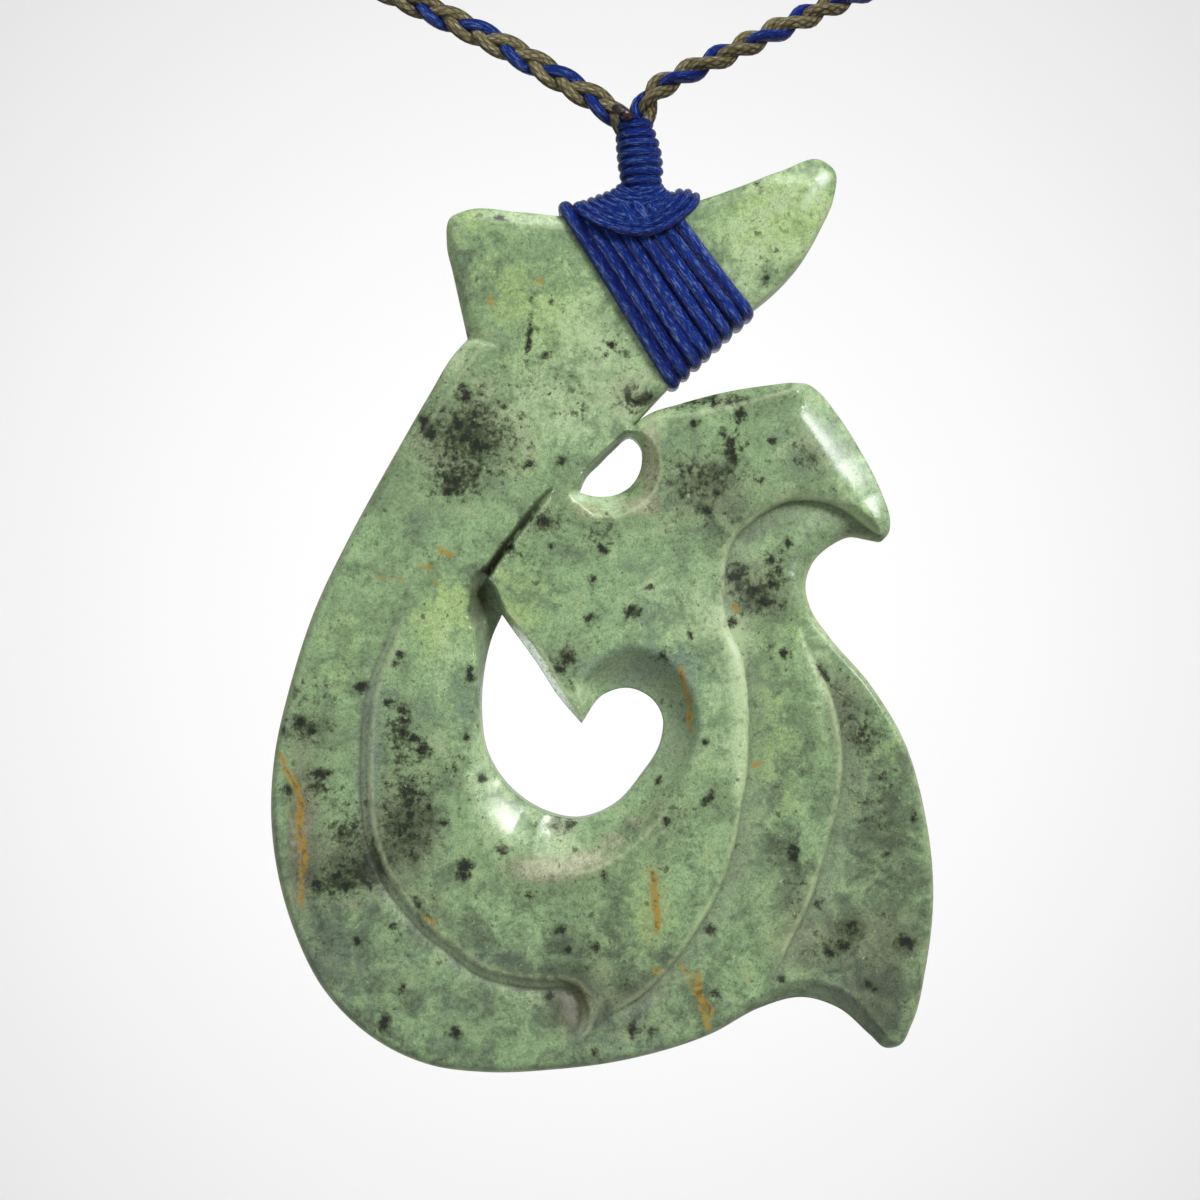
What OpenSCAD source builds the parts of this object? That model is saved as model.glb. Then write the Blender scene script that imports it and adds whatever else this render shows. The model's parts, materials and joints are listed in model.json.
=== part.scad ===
// Carved jade hammerhead pendant, lashed to a plaited neck cord. Millimetres, +Z up, front toward -Y.
// The origin is at the nape, where the cord lies on the back of the neck.

/* [Necklace] */
// Drop from the nape to the top of the pendant
pendant_drop = 93; // [80:1:110]
// Reach forward from the nape to the pendant's middle plane
pendant_reach = 127; // [110:1:140]
// Diameter of the plaited neck cord
plait_d = 2.1; // [1.8:0.1:2.3]

/* [Stone] */
// Thickness of the stone between its polished faces
stone_t = 7; // [6:0.5:8]
// Width and depth of each of the two bevel steps along the front and back edges
bevel = 0.5; // [0.2:0.1:0.6]
// Height that the front loses below the head and at the first carved line
step_one = 0.9; // [0.5:0.1:1.2]
// Height that it loses again at the second carved line
step_two = 0.8; // [0.5:0.1:1]
// Depth of each of the two terraces of the scoop beside the large hole
scoop_step = 0.9; // [0.5:0.1:1]
// Depth of the slit between the head and the stem
slit_depth = 3.2; // [2:0.1:4]
// Slope of the low outer band on the left
band_tilt = 2.4; // [1:0.1:3]

/* [Binding] */
// Diameter of the waxed binding cord
cord_d = 1; // [0.8:0.05:1.1]
// Turns of the lashing around the waist of the stone
lash_turns = 8; // [6:1:10]
// Turns of the whipping above the stone
whip_turns = 6; // [5:1:7]
// Diameter of the whipping
whip_d = 3.5; // [3:0.1:4]
// Depth of the shallow seat cut for the lashing in each face of the stone
seat_depth = 0.4; // [0.2:0.1:0.6]
// Clearance between pieces that are bound together
clear = 0.1; // [0.05:0.05:0.2]

/* [Hidden] */
$fn = 48;
stone_half = stone_t / 2;
beyond = 10;
point_gap = 1.6;
scoop_terrace = 1.3;

// Stone outline, front view, from the pendant's top: across, up, and 1 at a sharp corner
outline_rows = [
    [-14.6, -10, 0], [-14.3, -8, 0], [-13.2, -7.5, 0], [-9, -7.6, 0], [-5.8, -7.9, 0],
    [4.8, -6.7, 0], [7.8, -5.7, 0], [11.2, -4.5, 0], [14.1, -3.8, 0], [15.3, -4.6, 0],
    [15.3, -6.4, 0], [14.3, -8.8, 0], [12.8, -11.4, 0], [10.5, -13.9, 0], [9, -15.1, 0],
    [2.7, -20.9, 0], [-0.3, -24.1, 1], [0.9, -23.2, 0], [3.3, -22.4, 0], [6.7, -21.5, 0],
    [10.1, -20.9, 0], [12.5, -20.7, 0], [13.4, -21.1, 0], [15.1, -23.4, 0], [17, -26.4, 0],
    [18.6, -29.2, 0], [19.5, -31.6, 0], [19.1, -32.9, 0], [18.2, -33.1, 0], [16.8, -32.8, 0],
    [15.1, -33.3, 0], [13.7, -34.6, 0], [13.1, -36.4, 0], [13.5, -38.2, 0], [14.9, -40.3, 0],
    [17.8, -44, 0], [20.5, -48.5, 0], [22.2, -54, 0], [22.9, -59.8, 0], [22.3, -66, 0],
    [21.3, -70.1, 0], [20.3, -71.8, 0], [19.4, -71.9, 0], [18.2, -70.7, 0], [15.8, -68.7, 0],
    [13, -67.9, 0], [9.5, -68.6, 0], [5.5, -70.6, 0], [-1.2, -72.8, 0], [-6, -73.5, 0],
    [-11.5, -73.8, 0], [-16, -73.2, 0], [-19.8, -71.4, 0], [-23.8, -67.3, 0], [-26.2, -63.2, 0],
    [-27.6, -58.8, 0], [-28.1, -54.2, 0], [-27.6, -49.5, 0], [-26.2, -44.3, 0], [-24.3, -38.3, 0],
    [-21.9, -32.9, 0], [-18.2, -26, 0], [-15.5, -21.6, 0], [-13.6, -18.5, 0], [-12.6, -17.4, 1],
    [-13.2, -15.6, 0], [-14.1, -12.4, 0]
];
// Small hole behind the head's notch: across, up, corner
mouth_rows = [
    [-0.4, -24.9, 0], [0.4, -25.7, 0], [0.5, -26.7, 0], [-0.4, -28.7, 0], [-1.7, -29.4, 0],
    [-3, -29.5, 0], [-4.4, -29.2, 1], [-3.8, -27.9, 0], [-2.9, -27, 0], [-1.8, -25.9, 0]
];
// Rim of the flared wall around the small hole: across, up, corner
mouth_rim_rows = [
    [0.2, -24.9, 0], [1.2, -25.7, 0], [1.6, -27, 0], [1.4, -28.8, 0], [0.7, -30.3, 0],
    [-0.9, -31.4, 0], [-3.2, -30.8, 0], [-4.9, -29.6, 1], [-2.4, -27.9, 1], [-0.9, -25.9, 1]
];
// Large hole inside the hook: across, up, corner
hole_rows = [
    [-10.4, -38.6, 1], [-11.2, -40.4, 0], [-11.8, -43, 0], [-12, -46, 0], [-11.5, -49.4, 0],
    [-10.2, -51.6, 0], [-7.2, -53.8, 0], [-4.6, -54.2, 0], [-1.6, -53, 0], [0.2, -51, 0],
    [1.7, -48.6, 0], [1.9, -46.6, 0], [1.2, -45.2, 0], [-0.6, -44.3, 0], [-2.5, -44.8, 0],
    [-4.2, -47, 1], [-5.9, -45, 0], [-7.6, -42.4, 0]
];
// Rim of the scoop that runs down from the head's point around the large hole: across, up, corner
scoop_rows = [
    [-4.5, -46.5, 1], [-4.6, -44, 0], [-3.2, -41.7, 0], [-1.2, -40.6, 0], [1.2, -41, 0],
    [3.4, -43.1, 0], [4.5, -46.2, 0], [4.2, -49.4, 0], [2.4, -53.2, 0], [-0.4, -56, 0],
    [-3, -58.2, 0], [-6.3, -59, 0], [-9.6, -56.8, 1], [-9.6, -52, 1], [-6, -48, 1]
];
// Low ground under the head and outside the first carved line: across, up, corner
step_one_rows = [
    [-2.8, -70.6, 1], [0.8, -67.5, 0], [4.3, -63.7, 0], [7.3, -57, 0], [8.5, -49.5, 0],
    [8.2, -42.6, 0], [6.8, -38.7, 0], [7.2, -33.8, 1], [9.2, -31.5, 0], [12.8, -29.8, 0],
    [15.8, -30.4, 0], [19.3, -32.5, 1], [26, -33, 1], [26, -78, 1], [-2.8, -78, 1]
];
// Lower ground outside the second carved line: across, up, corner
step_two_rows = [
    [8.8, -67.8, 1], [11.9, -63.2, 0], [14.6, -56.5, 0], [15.6, -50, 0], [14.6, -45.5, 0],
    [12.8, -40.1, 0], [12, -38.3, 1], [26, -38.3, 1], [26, -78, 1], [8.8, -78, 1]
];
// Low outer band on the left, which ends in a hook at the foot: across, up, corner
band_rows = [
    [-18, -38.4, 1], [-20, -44, 0], [-21.3, -50.5, 0], [-20, -57.4, 0], [-15, -63.8, 0],
    [-10.6, -66.4, 0], [-5.3, -66.8, 0], [-3.6, -69, 0], [-5, -71.5, 1], [-5, -78, 1],
    [-32, -78, 1], [-32, -38.4, 1]
];
// Slit between the head and the stem: across, up, corner
slit_rows = [
    [-5.9, -28.8, 1], [-8.6, -32.2, 0], [-11.3, -35.6, 1], [-10.9, -38.8, 1], [-12.4, -38.6, 1],
    [-12.3, -35.2, 1], [-9.4, -31.6, 0], [-6.8, -28.9, 1]
];

// Lashing: its tilt, its ends along the stem, and the outer ends of its first and last turn
lash_tilt = -36.5;
lash_from = -10.35;
lash_to = -2.05;
lash_top = [-2.6, -6.6];
lash_foot = [-19.1, -18.4];
turn_pitch = (lash_to - lash_from) / lash_turns;
turn_round = 1.6;
groove = 0.2;
band_share = 0.6;
waist_over = 1;
seat_low = -19.4;
lash_half = stone_half - seat_depth + cord_d;

// Saddle of turns in front of and behind the tail's upper edge: across, up, corner
saddle_rows = [
    [-5.9, -7.6, 0], [-4.6, -6.7, 0], [-2.8, -6.3, 0], [-1.4, -5.9, 0], [2.3, -5.9, 0],
    [4.6, -6.1, 0], [5, -6.8, 0], [4.4, -7.9, 0], [3.4, -8.9, 0], [1.7, -9.6, 0],
    [-0.1, -9.7, 0], [-2.4, -9.2, 0], [-4.2, -8.5, 0]
];

// Whipping: its foot on the saddle, its tilt and its height
whip_foot = [0.55, 0, -5.5];
whip_tilt = -7;
whip_h = 4.8;
whip_pitch = whip_h / whip_turns;

// Melted end of the binding cord, in front of the plait
end_at = [-0.9, -1.5, -0.5];
end_h = 1;
end_d = 0.8;

// Route of the neck cord from the pendant's top, clockwise seen from above: across, back, up
route = [
    [-0.5, 0, 0.5], [1, 0, 1.5], [3.5, 0.5, 3], [8, 1, 5], [16.5, 3, 9], [30, 8, 15],
    [44, 19, 23], [56, 34, 32], [64, 52, 44], [67, 72, 57], [63, 92, 70], [52, 108, 81],
    [36, 119, 88], [18, 125, 92], [0, 127, 93], [-18, 125, 92], [-36, 119, 88],
    [-52, 108, 81], [-63, 92, 70], [-67, 72, 57], [-64, 52, 44], [-56, 34, 32],
    [-44, 19, 23], [-30, 8, 15], [-18.5, 3, 9], [-9.5, 1, 4.5], [-4.5, 0.5, 1.5], [-2, 0, 0.5]
];
ring_gap = 6;
tube_sides = 8;

function unit(v) = v / norm(v);
function mix(pair, t) = pair[0] + (pair[1] - pair[0]) * t;
function spot(row) = [row[0], row[1]];

// Direction of a smooth curve at a point, from the steps that lead to it and away from it
function smooth_way(back, front) =
    (unit(front) * norm(back) + unit(back) * norm(front)) / (norm(front) + norm(back));

// Direction at row i of a closed table; a corner keeps the direction of one side
function row_way(rows, i, ahead) =
    let (
        n = len(rows),
        back = spot(rows[i]) - spot(rows[(i + n - 1) % n]),
        front = spot(rows[(i + 1) % n]) - spot(rows[i])
    )
    rows[i][2] == 0 ? smooth_way(back, front) : unit(ahead ? front : back);

// Direction at point i of the closed cord route
function route_way(i) =
    let (n = len(route))
    smooth_way(route[i] - route[(i + n - 1) % n], route[(i + 1) % n] - route[i]);

// Point at t on the cubic from p with direction u to q with direction v
function cubic(p, u, q, v, t) =
    let (span = norm(q - p))
    p * (1 - 3 * t * t + 2 * t * t * t) + q * (3 * t * t - 2 * t * t * t)
    + u * span * (t - 2 * t * t + t * t * t) + v * span * (t * t * t - t * t);

// Closed outline through a table of rows, with a point about every point_gap
function outline(rows) = [
    for (i = [0 : len(rows) - 1])
        let (
            j = (i + 1) % len(rows),
            p = spot(rows[i]),
            q = spot(rows[j]),
            straight = rows[i][2] == 1 && rows[j][2] == 1,
            steps = straight ? 1 : max(1, round(norm(q - p) / point_gap))
        )
        for (k = [0 : steps - 1])
            cubic(p, row_way(rows, i, true), q, row_way(rows, j, false), k / steps)
];

// The same clockwise outline moved inward by d
function inset(points, d) = [
    for (i = [0 : len(points) - 1])
        let (
            n = len(points),
            a = unit(points[i] - points[(i + n - 1) % n]),
            b = unit(points[(i + 1) % n] - points[i]),
            way = unit(a + b),
            reach = d / max(0.5, way * b)
        )
        points[i] + reach * [way[1], -way[0]]
];

// Centreline of the neck cord, with a ring about every ring_gap
cord_line = [
    for (i = [0 : len(route) - 1])
        let (
            j = (i + 1) % len(route),
            steps = max(1, round(norm(route[j] - route[i]) / ring_gap))
        )
        for (k = [0 : steps - 1])
            cubic(route[i], route_way(i), route[j], route_way(j), k / steps)
];

// Slab of an outline from one depth to another, front being negative
module slab(points, from, to) {
    translate([0, to, 0])
        rotate([90, 0, 0])
            linear_extrude(to - from)
                polygon(points);
}

// Cut from the front face down to a depth below it
module front_cut(points, depth) {
    slab(points, -stone_half - beyond, -stone_half + depth);
}

module stone_blank() {
    points = outline(outline_rows);
    slab(points, -stone_half + 2 * bevel, stone_half - 2 * bevel);
    slab(inset(points, bevel / 2), -stone_half + bevel, stone_half - bevel);
    slab(inset(points, 1.5 * bevel), -stone_half, stone_half);
}

// The low band on the left sinks evenly from its upper end to the foot
module band_cut() {
    pivot = [0, -stone_half, band_rows[0][1]];
    translate(pivot)
        rotate([band_tilt, 0, 0])
            translate(-pivot)
                front_cut(outline(band_rows), 0);
}

// The frame of the lashing: +X along the stem, +Z along its turns
module lash_frame() {
    rotate([0, lash_tilt, 0]) children();
}

// The waist of the stone inside the lashing, grown by a margin
module waist(margin) {
    run = [lash_from - waist_over, lash_to + waist_over];
    t = [-waist_over / (lash_to - lash_from), 1 + waist_over / (lash_to - lash_from)];
    half = stone_half - seat_depth + margin;
    slab([
        [run[0], mix(lash_top, t[0]) - cord_d + margin],
        [run[1], mix(lash_top, t[1]) - cord_d + margin],
        [run[1], mix(lash_foot, t[1]) + cord_d - margin],
        [run[0], mix(lash_foot, t[0]) + cord_d - margin]
    ], -half, half);
}

// Groove around the stone that the lashing sits in
module seat_cut() {
    lash_frame() difference() {
        translate([lash_from - clear, -beyond, seat_low])
            cube([lash_to - lash_from + 2 * clear, 2 * beyond, -seat_low]);
        waist(0);
    }
}

// Rounded rectangle about the Y axis of the turns
module round_rect(half, low, high, r) {
    translate([-half + r, low]) square([2 * half - 2 * r, high - low]);
    translate([-half, low + r]) square([2 * half, high - low - 2 * r]);
    for (a = [-half + r, half - r], b = [low + r, high - r])
        translate([a, b]) circle(r);
}

// Outer form of turn i of the lashing, grown by a margin
module turn_block(i, margin, inward, width) {
    t = (i + 0.5) / lash_turns;
    side = (turn_pitch - width) / 2;
    translate([lash_from + i * turn_pitch + side - margin, 0, 0])
        rotate([90, 0, 90])
            linear_extrude(width + 2 * margin)
                round_rect(
                    lash_half - inward + margin,
                    mix(lash_foot, t) + inward - margin,
                    mix(lash_top, t) - inward + margin,
                    turn_round
                );
}

module jade_carving() color("darkseagreen") {
    difference() {
        stone_blank();
        slab(outline(mouth_rows), -beyond, beyond);
        front_cut(outline(mouth_rim_rows), scoop_step);
        slab(outline(hole_rows), -beyond, beyond);
        front_cut(outline(scoop_rows), scoop_step);
        front_cut(inset(outline(scoop_rows), scoop_terrace), 2 * scoop_step);
        front_cut(outline(step_one_rows), step_one);
        front_cut(outline(step_two_rows), step_one + step_two);
        front_cut(outline(slit_rows), slit_depth);
        band_cut();
        seat_cut();
    }
}

module lashing() color("midnightblue") {
    lash_frame() difference() {
        for (i = [0 : lash_turns - 1]) {
            turn_block(i, 0, groove, turn_pitch);
            turn_block(i, 0, 0, turn_pitch * band_share);
        }
        waist(clear);
    }
}

module saddle_turns() color("navy") {
    points = outline(saddle_rows);
    half = lash_half + clear + cord_d;
    difference() {
        union() {
            slab(points, -half + 2 * groove, half - 2 * groove);
            slab(inset(points, 2 * groove), -half, half);
        }
        lash_frame()
            for (i = [0 : lash_turns - 1])
                turn_block(i, clear, 0, turn_pitch);
        slab(inset(outline(outline_rows), -clear), -stone_half - clear, stone_half + clear);
    }
}

module whipping() color("darkblue") {
    translate(whip_foot)
        rotate([0, whip_tilt, 0]) {
            cylinder(h = whip_h, d = whip_d - 2 * groove);
            for (i = [0 : whip_turns - 1])
                translate([0, 0, (i + (1 - band_share) / 2) * whip_pitch])
                    cylinder(h = whip_pitch * band_share, d = whip_d);
        }
}

module cord_end() color("saddlebrown") {
    translate(end_at) {
        cylinder(h = end_h, d = end_d);
        translate([0, 0, end_h]) sphere(d = end_d);
    }
}

module plaited_cord() color("darkkhaki") {
    n = len(cord_line);
    plane = unit([0, -pendant_drop, pendant_reach]);
    rings = [
        for (i = [0 : n - 1])
            let (
                way = unit(cord_line[(i + 1) % n] - cord_line[(i + n - 1) % n]),
                side = unit(cross(way, plane)),
                up = cross(side, way)
            )
            for (k = [0 : tube_sides - 1])
                let (turn = 360 * (k + 0.5) / tube_sides)
                cord_line[i] + plait_d / 2 * (cos(turn) * side + sin(turn) * up)
    ];
    quads = [
        for (i = [0 : n - 1], k = [0 : tube_sides - 1])
            let (next = (k + 1) % tube_sides, ahead = (i + 1) % n)
            [
                i * tube_sides + k, ahead * tube_sides + k,
                ahead * tube_sides + next, i * tube_sides + next
            ]
    ];
    polyhedron(rings, quads);
}

// From the pendant's own frame to the nape's
module placed() {
    translate([0, -pendant_reach, -pendant_drop]) children();
}

placed() jade_carving();
placed() lashing();
placed() saddle_turns();
placed() whipping();
placed() cord_end();
placed() plaited_cord();
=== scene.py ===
import json
import math

import bpy
import numpy as np
from mathutils.geometry import delaunay_2d_cdt
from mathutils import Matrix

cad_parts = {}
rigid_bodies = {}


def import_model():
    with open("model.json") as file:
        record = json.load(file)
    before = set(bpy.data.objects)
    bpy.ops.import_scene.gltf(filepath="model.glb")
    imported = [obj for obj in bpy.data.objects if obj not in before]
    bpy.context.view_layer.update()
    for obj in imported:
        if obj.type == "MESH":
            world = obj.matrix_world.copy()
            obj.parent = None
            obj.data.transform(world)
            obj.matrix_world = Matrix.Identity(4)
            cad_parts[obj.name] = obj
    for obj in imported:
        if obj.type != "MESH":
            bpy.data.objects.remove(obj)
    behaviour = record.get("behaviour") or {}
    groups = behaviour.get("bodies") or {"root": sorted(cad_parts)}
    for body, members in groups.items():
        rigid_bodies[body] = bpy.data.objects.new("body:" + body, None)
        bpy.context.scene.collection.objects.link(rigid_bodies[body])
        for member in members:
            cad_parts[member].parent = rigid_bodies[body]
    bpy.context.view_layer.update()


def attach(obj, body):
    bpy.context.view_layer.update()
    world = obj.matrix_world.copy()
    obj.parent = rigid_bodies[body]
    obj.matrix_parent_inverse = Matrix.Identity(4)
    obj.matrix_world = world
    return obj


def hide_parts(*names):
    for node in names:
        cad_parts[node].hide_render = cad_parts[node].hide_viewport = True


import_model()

# The pendant's own frame hangs here in the necklace's frame; sizes below are in millimetres in that frame
mm = 0.001
pendantAt = np.array([0.0, -127.0, -93.0])


def place(points):
    # Row position = (own position + pendantAt) in metres
    return (np.asarray(points, float) + pendantAt) * mm


# Camera, straight on to the stone's front as in the photograph

camera = {
    "pixelsPerMm": 13.0,  # at the stone's front face
    "frameWidth": 1200,  # pixels
    "sensor": 36.0,
    "nearest": 0.01,  # metres
    "centre": (-2.77, -37.5),  # across and up, in the middle of the picture
    "distance": 330.0,
    "frontFace": -3.5,
}


def makeCamera():
    # Focal length = sensor width times distance over the width that the frame shows
    lens = bpy.data.cameras.new("Camera")
    lens.sensor_width = camera["sensor"]
    lens.lens = camera["sensor"] * camera["distance"] * camera["pixelsPerMm"] / camera["frameWidth"]
    lens.clip_start = camera["nearest"]
    cam = bpy.data.objects.new("Camera", lens)
    across, up = camera["centre"]
    cam.location = place([across, camera["frontFace"] - camera["distance"], up])
    cam.rotation_euler = (math.pi / 2, 0, 0)
    bpy.context.scene.collection.objects.link(cam)
    bpy.context.scene.camera = cam


makeCamera()
print("camera set")


# Mesh helpers

domeHeights = (0.38, 0.71, 0.92, 0.99)  # of the rings that round off a cord's end, in radii


def addMesh(name, points, faces):
    # A smooth-shaded mesh object of these points and faces
    mesh = bpy.data.meshes.new(name)
    mesh.from_pydata(np.asarray(points).tolist(), [], faces)
    mesh.update()
    mesh.polygons.foreach_set("use_smooth", np.ones(len(mesh.polygons), bool))
    piece = bpy.data.objects.new(name, mesh)
    bpy.context.scene.collection.objects.link(piece)
    return piece


def addValues(piece, name, values):
    # One number, or one row of three, on each vertex
    values = np.asarray(values, "f")
    kind, key = ("FLOAT", "value") if values.ndim == 1 else ("FLOAT_VECTOR", "vector")
    layer = piece.data.attributes.new(name, kind, "POINT")
    layer.data.foreach_set(key, values.ravel())


def unit(v):
    # Each row over its length
    return v / np.linalg.norm(v, axis=-1, keepdims=True)


def between(pair, share):
    # Number at this share of the way from the pair's first to its second
    return pair[0] + (pair[1] - pair[0]) * share


def lengthsAlong(line):
    # Arc length from the line's start to each of its points
    return np.r_[0, np.cumsum(np.linalg.norm(np.diff(line, axis=0), axis=1))]


def ripples(x, z, rows):
    # Sum of amount sin(rate x + other rate z + phase)
    return sum(amount * np.sin(rate * x + other * z + phase) for amount, rate, other, phase in rows)


def smoothThrough(rows, gap, closed=False):
    # Cubic spline p(t) with p' at each row the length-weighted mean of its two steps, sampled every gap
    p = np.asarray(rows, float)
    steps = np.roll(p, -1, 0) - p if closed else np.diff(p, axis=0)
    size = np.linalg.norm(steps, axis=1)
    way = steps / size[:, None]
    if closed:
        a, b, wa, wb = np.roll(way, 1, 0), way, size, np.roll(size, 1)
    else:
        a, b = np.vstack([way[:1], way]), np.vstack([way, way[-1:]])
        wa, wb = np.r_[size, size[-1]], np.r_[size[0], size]
    lean = (a * wa[:, None] + b * wb[:, None]) / (wa + wb)[:, None]
    counts = np.maximum(1, np.round(size / gap)).astype(int)
    i = np.repeat(np.arange(len(steps)), counts)
    t = np.concatenate([np.arange(c) / c for c in counts])[:, None]
    j = (i + 1) % len(p)
    span = size[i][:, None]
    out = (
        p[i] * (1 - 3 * t**2 + 2 * t**3)
        + p[j] * (3 * t**2 - 2 * t**3)
        + lean[i] * span * (t - 2 * t**2 + t**3)
        + lean[j] * span * (t**3 - t**2)
    )
    return out if closed else np.vstack([out, p[-1:]])


def evenly(line, gap):
    # The same line with its points the same arc length apart
    s = lengthsAlong(line)
    at = np.linspace(0, s[-1], max(2, int(round(s[-1] / gap)) + 1))
    return np.stack([np.interp(at, s, line[:, k]) for k in range(line.shape[1])], 1)


def ways(line, closed=False):
    # Unit way at each point, from the point before it to the one after it
    return unit(np.roll(line, -1, 0) - np.roll(line, 1, 0) if closed else np.gradient(line, axis=0))


def tube(name, line, radius, sides, side, flat=1.0, closed=False):
    # Ring k at line[k] + r (cos a S + flat sin a B), S the part of side square to the way, B = way x S; an
    # open end is rounded off by rings at the dome's heights h, of radius r sqrt(1 - h^2)
    w = ways(line, closed)
    s = unit(side - (side * w).sum(1, keepdims=True) * w)
    b = np.cross(w, s)
    r = np.broadcast_to(np.asarray(radius, float), (len(line),)).copy()
    a = np.arange(sides) * 2 * np.pi / sides
    if not closed:
        dome, rings = np.array(domeHeights)[:, None], len(domeHeights)
        rim = np.sqrt(1 - dome[:, 0] ** 2)
        line = np.vstack([line[0] - w[0] * dome[::-1] * r[0], line, line[-1] + w[-1] * dome * r[-1]])
        r = np.r_[rim[::-1] * r[0], r, rim * r[-1]]
        s, b = (np.vstack([np.repeat(v[:1], rings, 0), v, np.repeat(v[-1:], rings, 0)]) for v in (s, b))
    across = np.cos(a)[None, :, None] * s[:, None] + flat * np.sin(a)[None, :, None] * b[:, None]
    points = (line[:, None] + r[:, None, None] * across).reshape(-1, 3)
    m = len(line)
    k, q = np.meshgrid(np.arange(m if closed else m - 1), np.arange(sides), indexing="ij")
    q2, k2 = (q + 1) % sides, (k + 1) % m
    faces = np.stack([k * sides + q, k * sides + q2, k2 * sides + q2, k2 * sides + q], -1)
    faces = faces.reshape(-1, 4).tolist()
    if not closed:
        ring = np.arange(sides)
        faces += [ring[::-1].tolist(), ((m - 1) * sides + ring).tolist()]
    piece = addMesh(name, place(points), faces)
    wrap = np.stack([np.tile(np.cos(a), m), np.tile(np.sin(a), m), np.repeat(lengthsAlong(line), sides)], 1)
    addValues(piece, "wrap", wrap)  # cosine and sine of the angle, and the length along in millimetres
    return piece


def finished(piece, nodeName):
    # Every piece rides on the one body
    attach(piece, "root")
    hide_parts(nodeName)


# Neck cord: three strands plaited flat, one blue and two khaki, one whole loop

neckCord = {
    # Route from the pendant's top, clockwise seen from above: across, back, up
    "route": [
        (0.4, 0.45, -0.6), (0.62, 0.45, 0.8), (1.5, 0.4, 2.15), (3.5, 0.5, 3.3), (8, 1, 5.5),
        (16.5, 3, 9.7), (30, 8, 15.6), (44, 19, 23.3), (56, 34, 32), (64, 52, 44), (67, 72, 57),
        (63, 92, 70), (52, 108, 81), (36, 119, 88), (18, 125, 92), (0, 127, 93), (-18, 125, 92),
        (-36, 119, 88), (-52, 108, 81), (-63, 92, 70), (-67, 72, 57), (-64, 52, 44), (-56, 34, 32),
        (-44, 19, 23.4), (-30, 8, 15.8), (-18.5, 3, 9.9), (-9.5, 1, 5.25), (-4.5, 0.5, 2.25),
        (-2.2, 0.4, 0.8), (-0.75, 0.45, -0.6),
    ],
    "facing": (0, -127, 93),  # the plait's broad side, forward and up at the throat
    "turnStart": 22.0,  # degrees that the plait is turned about its own line, right arm then left arm
    "turnEnd": -35.0,
    "width": 2.1,
    "strand": 1.0,
    "sway": 0.6,  # sideways swing of a strand
    "weave": 0.34,  # front to back swing
    "repeats": 60.0,
    "splineGap": 1.0,
    "gap": 0.4,
    "pathEvery": 3,  # every third point goes into the cord's path
    "sides": 12,
}


def makeNeckCord():
    # Strand k: C(s) + sway sin(p) N + weave sin(2p) B with p = 2 pi (repeats s + k / 3)
    line = evenly(smoothThrough(neckCord["route"], neckCord["splineGap"]), neckCord["gap"])
    s = np.linspace(0, 1, len(line))
    w = ways(line)
    front = unit(np.cross(w, np.cross(unit(np.array(neckCord["facing"], float)), w)))
    across = np.cross(front, w)
    turn = np.radians(neckCord["turnStart"] + (neckCord["turnEnd"] - neckCord["turnStart"]) * s)[:, None]
    cos, sin = np.cos(turn), np.sin(turn)
    front, across = front * cos + across * sin, across * cos - front * sin
    strands = []
    for k, name in enumerate(["plait_blue", "plait_khaki_a", "plait_khaki_b"]):
        p = 2 * np.pi * (neckCord["repeats"] * s + k / 3)
        swing = (neckCord["sway"] * np.sin(p))[:, None] * across
        path = line + swing + (neckCord["weave"] * np.sin(2 * p))[:, None] * front
        strands.append(tube(name, path, neckCord["strand"] / 2, neckCord["sides"], front))
    for piece, slotName in zip(strands, ["blue_cord", "khaki_cord", "khaki_cord"]):
        finished(piece, "plaited_cord")


makeNeckCord()


# Lashing: one waxed cord wound eight times around the stone's waist

lashing = {
    "tilt": -36.5,  # degrees from upright to the way of the turns
    "turns": 8,
    # Place along the stem of the first and last turn, at the top and at the foot
    "topAt": (-8.7, -2.5),
    "footAt": (-10.0, -2.25),
    # Height of the first and last turn's centreline along the turns
    "top": (-2.6, -7.0),
    "foot": (-18.3, -17.45),
    "depth": 3.6,
    "corner": 1.5,
    "cornerSamples": 7,
    "cord": 1.16,
    "crossing": 0.2,  # share of a turn, at its start and end, that runs on to the next turn
    "uneven": 0.035,
    "ripples": ((1, 1.7, 2.1, 0), (1, 3.1, -1.3, 1)),
    "middle": (-6, 0, -11.5),
    "samples": 104,  # of one turn
    "gap": 0.38,
    "sides": 14,
}


def fromLash(rows):
    # Own position = a U + y Y + b W, with U the stem's way and W the turns' way
    tilt = math.radians(lashing["tilt"])
    u = np.array([math.cos(tilt), 0, -math.sin(tilt)])
    w = np.array([math.sin(tilt), 0, math.cos(tilt)])
    rows = np.asarray(rows, float)
    return rows[:, :1] * u + rows[:, 1:2] * [0, 1, 0] + rows[:, 2:] * w


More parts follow.
